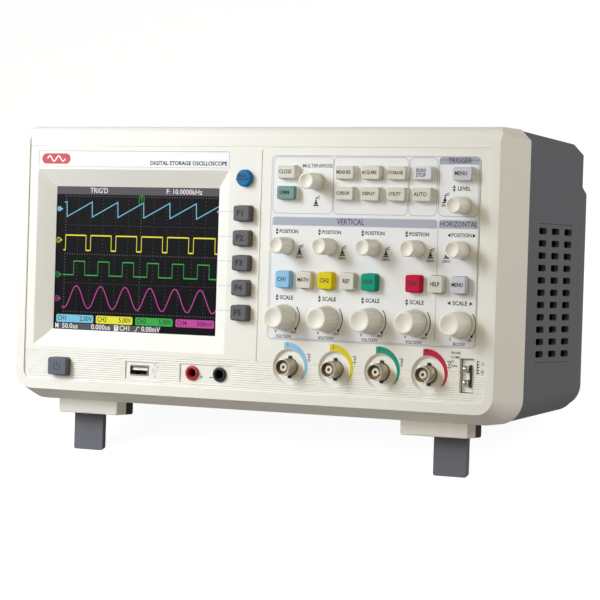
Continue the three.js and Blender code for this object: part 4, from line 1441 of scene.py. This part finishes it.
class SCOPE_OT_display(Maker, bpy.types.Operator):
    """Build the display and the picture on it"""

    bl_idname = "scope.display"
    bl_label = "Display"

    def execute(self, context):
        low, high = case_box("lcd_module")
        bm = bmesh.new()
        block(bm, SCREEN["x"], SCREEN["z"], SCREEN["width"] + 6, SCREEN["height"] + 6,
              SCREEN_FACE, SCREEN_FACE + 1, 0.4)
        block(bm, *box_place((low, high)), SCREEN_FACE + 1.05, high.y, 0.6)
        finish({"glass": bm}, "display_panel", "case", ["lcd_module"])
        coats = Coats()
        self.graticule(coats["lit_dots"])
        self.traces(coats)
        self.status_bar(coats)
        self.readouts(coats)
        self.timebase_line(coats)
        self.markers(coats)
        finish(coats, "display_picture", "case")
        return {"FINISHED"}

    def bar(self, bm, left, right, low, high, corner=0.0):
        a, b = on_screen(left, low), on_screen(right, high)
        patch(bm, *between(a[0], b[0], a[1], b[1]), SCREEN_FACE, corner, 3)

    def words(self, bm, text, u, v, size, spread, align="CENTER", heavy=0.0):
        x, z = on_screen(u, v)
        letters(bm, text, x, z, SCREEN_FACE - INK, size, spread, align, heavy)

    def line(self, bm, points, width, lift=0.02):
        stroke(bm, [on_screen(u, v) for u, v in points], width, SCREEN_FACE - lift)

    def graticule(self, bm):
        """Dotted divisions, with ticks along the middle lines and round the edge."""
        left, right, low, high = GRID["left"], GRID["right"], GRID["low"], GRID["high"]
        columns, rows, dot = 12, 8, 0.33
        for i in range(columns + 1):
            u = left + (right - left) * i / columns
            ruler = i in (0, columns // 2, columns)
            count = rows * (5 if ruler else 4)
            for j in range(count + 1):
                x, z = on_screen(u, low + (high - low) * j / count)
                patch(bm, x, z, dot * (2.2 if ruler else 1), dot, SCREEN_FACE)
        for j in range(rows + 1):
            ruler = j in (0, rows // 2, rows)
            if j % 2 and not ruler:
                continue
            count = columns * 5
            for i in range(count + 1):
                x, z = on_screen(left + (right - left) * i / count,
                                 low + (high - low) * j / rows)
                patch(bm, x, z, dot, dot * (2.2 if ruler else 1), SCREEN_FACE)

    def traces(self, coats):
        """A sawtooth, two square waves and a sine, one for each channel."""
        start, end, width = GRID["left"] - 0.01, 0.997, 0.52
        period, fall, top, bottom = 0.1598, 0.062, 0.893, 0.788
        saw = [(start, 0.888)]
        while fall < end:
            saw += [(fall, top), (fall + 0.003, bottom)]
            fall += period
        saw.append((end, bottom + (top - bottom) * (end - fall + period) / period))
        self.line(coats["trace_1"], saw, width)
        self.square(coats["trace_2"], (start, end), 0.0600, 0.1582, 0.129, 0.659, 0.555,
                    width * 1.5)
        self.square(coats["trace_3"], (start, end), 0.116, 0.1527, 0.070, 0.478, 0.382,
                    width * 1.2)
        sine = []
        for i in range(151):
            u = start + (end - start) * i / 150
            sine.append((u, 0.229 + 0.078 * math.cos((u - 0.137) / 0.1526 * math.tau)))
        self.line(coats["trace_4"], sine, width)

    def square(self, bm, ends, rise, period, on, top, bottom, width):
        """A square wave with level strokes and thinner edges."""
        start, end = ends
        at = rise - period
        while at < end:
            for a, b, v in ((at, at + on, top), (at + on, at + period, bottom)):
                a, b = max(a, start), min(b, end)
                if b - a > 0.002:
                    self.line(bm, [(a, v), (b, v)], width)
            for edge in (at, at + on):
                if start < edge < end:
                    self.line(bm, [(edge, bottom), (edge, top)], width * 0.5, 0.01)
            at += period

    def status_bar(self, coats):
        self.bar(coats["lit_grey"], 0.0, 1.0, 0.945, 0.999)
        self.words(coats["lit_white"], "TRIG'D", 0.264, 0.971, 3.3, 0.93, heavy=0.02)
        self.words(coats["lit_white"], "F: 10.0000kHz", 0.786, 0.970, 3.2, 1.0, heavy=0.02)

    def readouts(self, coats):
        """The four channels' scales."""
        edges = ((0.015, 0.249), (0.266, 0.493), (0.511, 0.739), (0.757, 0.988))
        for i, (value, (left, right)) in enumerate(zip(("2.00V", "5.00V", "5.00V", "500mV"),
                                                       edges)):
            self.bar(coats[f"trace_{i + 1}"], left, right, 0.050, 0.104, 0.9)
            dark = coats["lit_black"]
            self.words(dark, f"CH{i + 1}", left + 0.008, 0.077, 3.1, 0.85, "LEFT", 0.02)
            self.words(dark, value, right - 0.008, 0.077, 3.1, 0.92, "RIGHT", 0.02)

    def timebase_line(self, coats):
        self.bar(coats["lit_grey"], 0.012, 0.655, 0.003, 0.044)
        white = coats["lit_white"]
        for text, u, spread in (("M", 0.018, 0.8), ("50.0us", 0.101, 1.0), ("0.000us", 0.295, 1.0),
                                ("CH1", 0.446, 0.9), ("0.00mV", 0.605, 0.95)):
            self.words(white, text, u + 0.002, 0.0235, 3.2, spread * 1.04, heavy=0.03)
        x, z = on_screen(0.3935, 0.0235)
        patch(white, x, z, 3.0, 3.4, SCREEN_FACE - INK)
        letters(coats["lit_black"], "T", x, z, SCREEN_FACE - 2 * INK, 2.4, 0.9, heavy=0.04)
        rise = [(0.505, 0.009), (0.517, 0.009), (0.525, 0.037), (0.537, 0.037)]
        stroke(white, [on_screen(u, v) for u, v in rise], 0.35, SCREEN_FACE - INK)

    def markers(self, coats):
        """The channels' zero marks on the left and the trigger mark at the top."""
        for i, v in enumerate((0.842, 0.624, 0.382, 0.214)):
            x, z = on_screen(0.017, v)
            bm = coats[f"trace_{i + 1}"]
            if i == 0:
                patch(bm, x - 0.3, z, 2.6, 2.9, SCREEN_FACE, 0.8)
                self.words(coats["lit_black"], "1", 0.014, v, 2.1, 0.9, heavy=0.02)
            else:
                outline(bm, (x - 0.2, z, 3.0, 3.3), SCREEN_FACE, 1.1, 0.28)
                letters(bm, str(i + 1), x - 0.2, z, SCREEN_FACE, 1.9, 0.9)
            triangle(bm, x + 1.6, z, 1.0, "right", SCREEN_FACE + 0.01)
        x, z = on_screen(0.528, 0.913)
        outline(coats["trace_3"], (x, z, 3.9, 5.2), SCREEN_FACE - INK, 1.2, 0.32)
        letters(coats["trace_3"], "T", x, z, SCREEN_FACE - INK, 2.6, 0.85)
        x, z = on_screen(0.991, 0.842)
        triangle(coats["trace_1"], x, z, 0.9, "left", SCREEN_FACE)


# ---- legs, brackets and back fittings ----
LEG_PIN_Z = -4.3
LEG_THICK = 3.5
LEG_PIN = 2.5  # how far the pin stands out on each side


def pin(bm, x, y, radius, reach, steps):
    """A round pin along X, on the legs' line."""
    bmesh.ops.create_cone(bm, cap_ends=True, segments=steps, radius1=radius, radius2=radius,
                          depth=reach, matrix=Matrix.Translation((x, y, LEG_PIN_Z))
                          @ Matrix.Rotation(math.pi / 2, 4, "Y"))


class SCOPE_OT_feet(Maker, bpy.types.Operator):
    """Build the folding legs and the brackets that hold them"""

    bl_idname = "scope.feet"
    bl_label = "Legs"

    def execute(self, context):
        for side in ("left", "right"):
            self.leg(side)
            self.bracket(side)
        return {"FINISHED"}

    def leg(self, side):
        node = f"leg_{side}"
        low, high = case_box(node)
        x0, x1 = low.x + LEG_PIN, high.x - LEG_PIN
        y0, foot = low.y, low.z
        rise = LEG_THICK * math.tan(LEAN)
        bm = bmesh.new()
        face = bm.faces.new([bm.verts.new((x0, y, z)) for y, z in (
            (y0, LEG_PIN_Z), (y0, foot), (y0 + LEG_THICK, foot + rise),
            (y0 + LEG_THICK, LEG_PIN_Z))])
        draw_out(bm, [face], (x1 - x0, 0, 0))
        bmesh.ops.recalc_face_normals(bm, faces=bm.faces[:])
        corners = [e for e in bm.edges if max(v.co.z for v in e.verts) < foot + rise + 0.1
                   and abs(e.verts[0].co.x - e.verts[1].co.x) < 0.01]
        bmesh.ops.bevel(bm, geom=corners, offset=1.4, segments=4, profile=0.5, affect="EDGES",
                        material=-1)
        edges = [e for e in bm.edges if math.degrees(e.calc_face_angle(0)) > 50
                 and min(v.co.z for v in e.verts) < LEG_PIN_Z - 0.1]
        bmesh.ops.bevel(bm, geom=edges, offset=mm(self.shape.leg_edge) * 0.6, segments=3,
                        profile=0.5, affect="EDGES", material=-1, clamp_overlap=True)
        for reach, radius in ((0, LEG_THICK / 2), (LEG_PIN, 1.3)):
            barrel = bmesh.new()
            pin(barrel, (x0 + x1) / 2, y0 + LEG_THICK / 2, radius, x1 - x0 + 2 * reach, 32)
            carve(bm, barrel, operation="UNION")
        finish({"leg": bm}, f"{node}_blade", node, [node], sharp=30,
               weighted=True)

    def bracket(self, side):
        node = f"foot_bracket_{side}"
        low, high = case_box(node)
        leg_low, leg_high = case_box(f"leg_{side}")
        bm = bmesh.new()
        place = box_place((low, high))
        skin(bm, [section(bm, low.y, *place, 1.1, 3),
                  section(bm, high.y - 0.8, *place, 1.1, 3),
                  section(bm, high.y, place[0], place[1], place[2] - 1.4, place[3] - 1.4, 0.6, 3)])
        slot = bmesh.new()
        block(slot, *between(leg_low.x + LEG_PIN - 0.6, leg_high.x - LEG_PIN + 0.6, low.z - 1,
                             -1.7), low.y - 1, high.y + 1)
        bore = bmesh.new()
        pin(bore, (leg_low.x + leg_high.x) / 2, leg_low.y + LEG_THICK / 2, 1.6,
            leg_high.x - leg_low.x + 2, 24)
        carve(bm, slot, bore)
        finish({"black": bm}, f"{node}_block", "case", [node])


class SCOPE_OT_rear_fittings(Maker, bpy.types.Operator):
    """Build the mains inlet and the screws on the back"""

    bl_idname = "scope.rear_fittings"
    bl_label = "Rear Fittings"

    def execute(self, context):
        self.inlet()
        self.screws()
        return {"FINISHED"}

    def inlet(self):
        low, high = case_box("mains_inlet")
        middle = centre("mains_inlet")
        x, z, face = middle.x, middle.z, high.y
        coats = Coats()
        bm = coats["black"]
        block(bm, x, z, 27, 20, low.y, face - 1.5, 1.2)
        plate = bmesh.new()
        flange = box_place((low, high))
        skin(plate, [section(plate, face - 2.5, *flange, 2.2),
                     section(plate, face - 0.4, *flange, 2.2),
                     section(plate, face, flange[0], flange[1], flange[2] - 0.8,
                             flange[3] - 0.8, 1.8)])
        carve(bm, plate, operation="UNION")
        recess = bmesh.new()
        block(recess, x, z, 24, 17, face - 16, face + 2, 2.5)
        carve(bm, recess)
        for dx, dz in ((-7, -2.2), (0, 2.2), (7, -2.2)):
            block(coats["bright"], x + dx, z + dz, 2, 4, face - 16.1, face - 8, 0.3)
        for side in (-1, 1):
            turn(coats["bright"], x + side * 20, z,
                 [(0, face), (1.6, face - 0.01), (2.6, face - 0.3), (2.6, face - 1),
                  (0, face - 1)], 32)
        finish(coats, "mains_socket", "case", ["mains_inlet"])

    def screws(self):
        """Countersunk crosshead screws near the corners of the back."""
        bm = bmesh.new()
        back = case_box("rear_housing")[1].y
        for x, z in ((-150, 20), (150, 20), (-150, 122), (150, 122)):
            turn(bm, x, z, [(0, back + 0.02), (1.2, back + 0.02), (2.7, back - 0.25),
                            (3.1, back - 0.7), (0, back - 0.7)], 32)
            for turned in (0, math.pi / 2):
                first = len(bm.verts)
                block(bm, x, z, 3.2, 0.6, back, back + 0.04)
                bm.verts.ensure_lookup_table()
                bmesh.ops.rotate(bm, verts=bm.verts[first:], cent=(x, 0, z),
                                 matrix=Matrix.Rotation(turned + 0.4, 3, "Y"))
        finish({"black": bm}, "case_screws", "case")


class SCOPE_OT_insides(Maker, bpy.types.Operator):
    """Give the boards and the fan inside the case their finishes"""

    bl_idname = "scope.insides"
    bl_label = "Insides"

    def execute(self, context):
        finishes = {"key_board": "board", "main_board": "board", "power_supply": "board",
                    "fan_frame": "black", "fan_rotor": "black"}
        for node, name in finishes.items():
            mesh = frame["nodes"][node].data
            mesh.materials.clear()
            mesh.materials.append(material(name))
        return {"FINISHED"}


# ---- studio ----
CAMERA = {"x": 760.05, "y": -1274.13, "z": 86.52, "yaw": 29.572, "drop": 0.781, "roll": 1.779,
          "lens": 152.35}


# name, size, place, what it is aimed at, cone in degrees, tone
LAMPS = (
    ("key", 0.5, (-0.66, -0.48, 0.76), (-0.17, -0.03, 0.17), 66, (0.86, 0.9, 0.94)),
    ("low", 0.5, (-0.60, -0.75, 0.55), (-0.12, -0.03, 0.15), 80, (0.74, 0.79, 0.92)),
    ("front", 1.0, (0.2, -1.6, 1.2), (0, 0, 0.1), 120, (1.0, 0.82, 0.4)),
    ("side", 1.2, (1.6, 0.5, 0.8), (0.1, 0.05, 0.1), 180, (1.0, 0.95, 0.9)),
)
SENSOR = 36  # millimetres across
FAR_CLIP = 100  # metres
FLOOR_HALF = 30  # metres


class SCOPE_OT_stage(Maker, bpy.types.Operator):
    """Set out the floor, the lights and the camera"""

    bl_idname = "scope.stage"
    bl_label = "Stage"

    def execute(self, context):
        self.floor(context)
        studio = context.scene.scope_studio
        for name, size, place, target, cone, tone in LAMPS:
            self.lamp(f"{name}_light", getattr(studio, f"{name}_power"), size, place, target, cone,
                      tone)
        self.sky(context)
        self.camera(context)
        context.scene.view_settings.view_transform = "Standard"
        return {"FINISHED"}

    def floor(self, context):
        bm = bmesh.new()
        bmesh.ops.create_grid(bm, x_segments=1, y_segments=1, size=FLOOR_HALF)
        mesh = bpy.data.meshes.new("floor")
        bm.to_mesh(mesh)
        bm.free()
        floor = bpy.data.objects.new("floor", mesh)
        context.scene.collection.objects.link(floor)
        surface = bpy.data.materials.new("floor_white")
        surface.use_nodes = True
        shader = surface.node_tree.nodes["Principled BSDF"]
        shader.inputs["Base Color"].default_value = (0.25, 0.25, 0.25, 1)
        shader.inputs["Roughness"].default_value = 0.9
        shader.inputs["Specular IOR Level"].default_value = 0
        shader.inputs["Emission Color"].default_value = (1, 1, 1, 1)
        shader.inputs["Emission Strength"].default_value = 0.94
        mesh.materials.append(surface)
        floor.visible_diffuse = False
        floor.visible_glossy = False

    def lamp(self, name, power, size, place, target, cone, tone):
        data = bpy.data.lights.new(name, "AREA")
        data.energy = power
        data.shape = "DISK"
        data.size = size
        data.color = tone
        data.spread = math.radians(cone)
        lamp = bpy.data.objects.new(name, data)
        bpy.context.scene.collection.objects.link(lamp)
        lamp.location = place
        aim = Vector(target) - lamp.location
        lamp.rotation_euler = aim.to_track_quat("-Z", "Y").to_euler()

    def sky(self, context):
        """Soft light that is brighter above the object than below it."""
        studio = context.scene.scope_studio
        world = bpy.data.worlds.new("studio")
        world.use_nodes = True
        nodes, links = world.node_tree.nodes, world.node_tree.links
        background = nodes["Background"]
        background.inputs["Color"].default_value = (1, 0.93, 0.845, 1)
        place = nodes.new("ShaderNodeTexCoord")
        height = nodes.new("ShaderNodeSeparateXYZ")
        fade = nodes.new("ShaderNodeMapRange")
        fade.inputs["From Min"].default_value = -0.35
        fade.inputs["From Max"].default_value = 0.35
        fade.inputs["To Min"].default_value = studio.ground
        fade.inputs["To Max"].default_value = studio.sky
        links.new(place.outputs["Generated"], height.inputs["Vector"])
        links.new(height.outputs["Z"], fade.inputs["Value"])
        links.new(fade.outputs["Result"], background.inputs["Strength"])
        context.scene.world = world

    def camera(self, context):
        yaw, drop, roll = (math.radians(CAMERA[k]) for k in ("yaw", "drop", "roll"))
        ahead = Vector((-math.sin(yaw) * math.cos(drop), math.cos(yaw) * math.cos(drop),
                        -math.sin(drop)))
        level = Vector((math.cos(yaw), math.sin(yaw), 0))
        above = level.cross(ahead)
        right = math.cos(roll) * level + math.sin(roll) * above
        up = math.cos(roll) * above - math.sin(roll) * level
        turned = Matrix((right, up, -ahead)).transposed().to_4x4()
        data = bpy.data.cameras.new("camera")
        data.lens = CAMERA["lens"]
        data.sensor_width = SENSOR
        data.clip_end = FAR_CLIP
        camera = bpy.data.objects.new("camera", data)
        context.scene.collection.objects.link(camera)
        spot = PLACE @ Vector((CAMERA["x"], CAMERA["y"], CAMERA["z"]))
        camera.matrix_world = Matrix.Translation(spot) @ TURN @ turned
        context.scene.camera = camera


class SCOPE_PT_panel(bpy.types.Panel):
    """Lists the steps that build the oscilloscope"""

    bl_idname = "SCOPE_PT_panel"
    bl_label = "Oscilloscope"
    bl_space_type = "VIEW_3D"
    bl_region_type = "UI"
    bl_category = "Oscilloscope"

    def draw(self, context):
        for step in STEPS:
            self.layout.operator(step.bl_idname)


STEPS = (SCOPE_OT_stage, SCOPE_OT_front_bezel, SCOPE_OT_rear_housing, SCOPE_OT_markings,
         SCOPE_OT_control_overlay, SCOPE_OT_keys, SCOPE_OT_knobs, SCOPE_OT_sockets,
         SCOPE_OT_display, SCOPE_OT_feet, SCOPE_OT_rear_fittings, SCOPE_OT_insides)
GROUPS = {"scope_shape": ScopeShape, "scope_colours": ScopeColours, "scope_studio": ScopeStudio}


def register():
    for cls in (*GROUPS.values(), *STEPS, SCOPE_PT_panel):
        bpy.utils.register_class(cls)
    for name, group in GROUPS.items():
        setattr(bpy.types.Scene, name, PointerProperty(type=group))


def unregister():
    for name in GROUPS:
        delattr(bpy.types.Scene, name)
    for cls in (SCOPE_PT_panel, *reversed(STEPS), *GROUPS.values()):
        bpy.utils.unregister_class(cls)


def main():
    register()
    for step in STEPS:
        group, name = step.bl_idname.split(".")
        getattr(getattr(bpy.ops, group), name)()


if __name__ == "__main__":
    main()
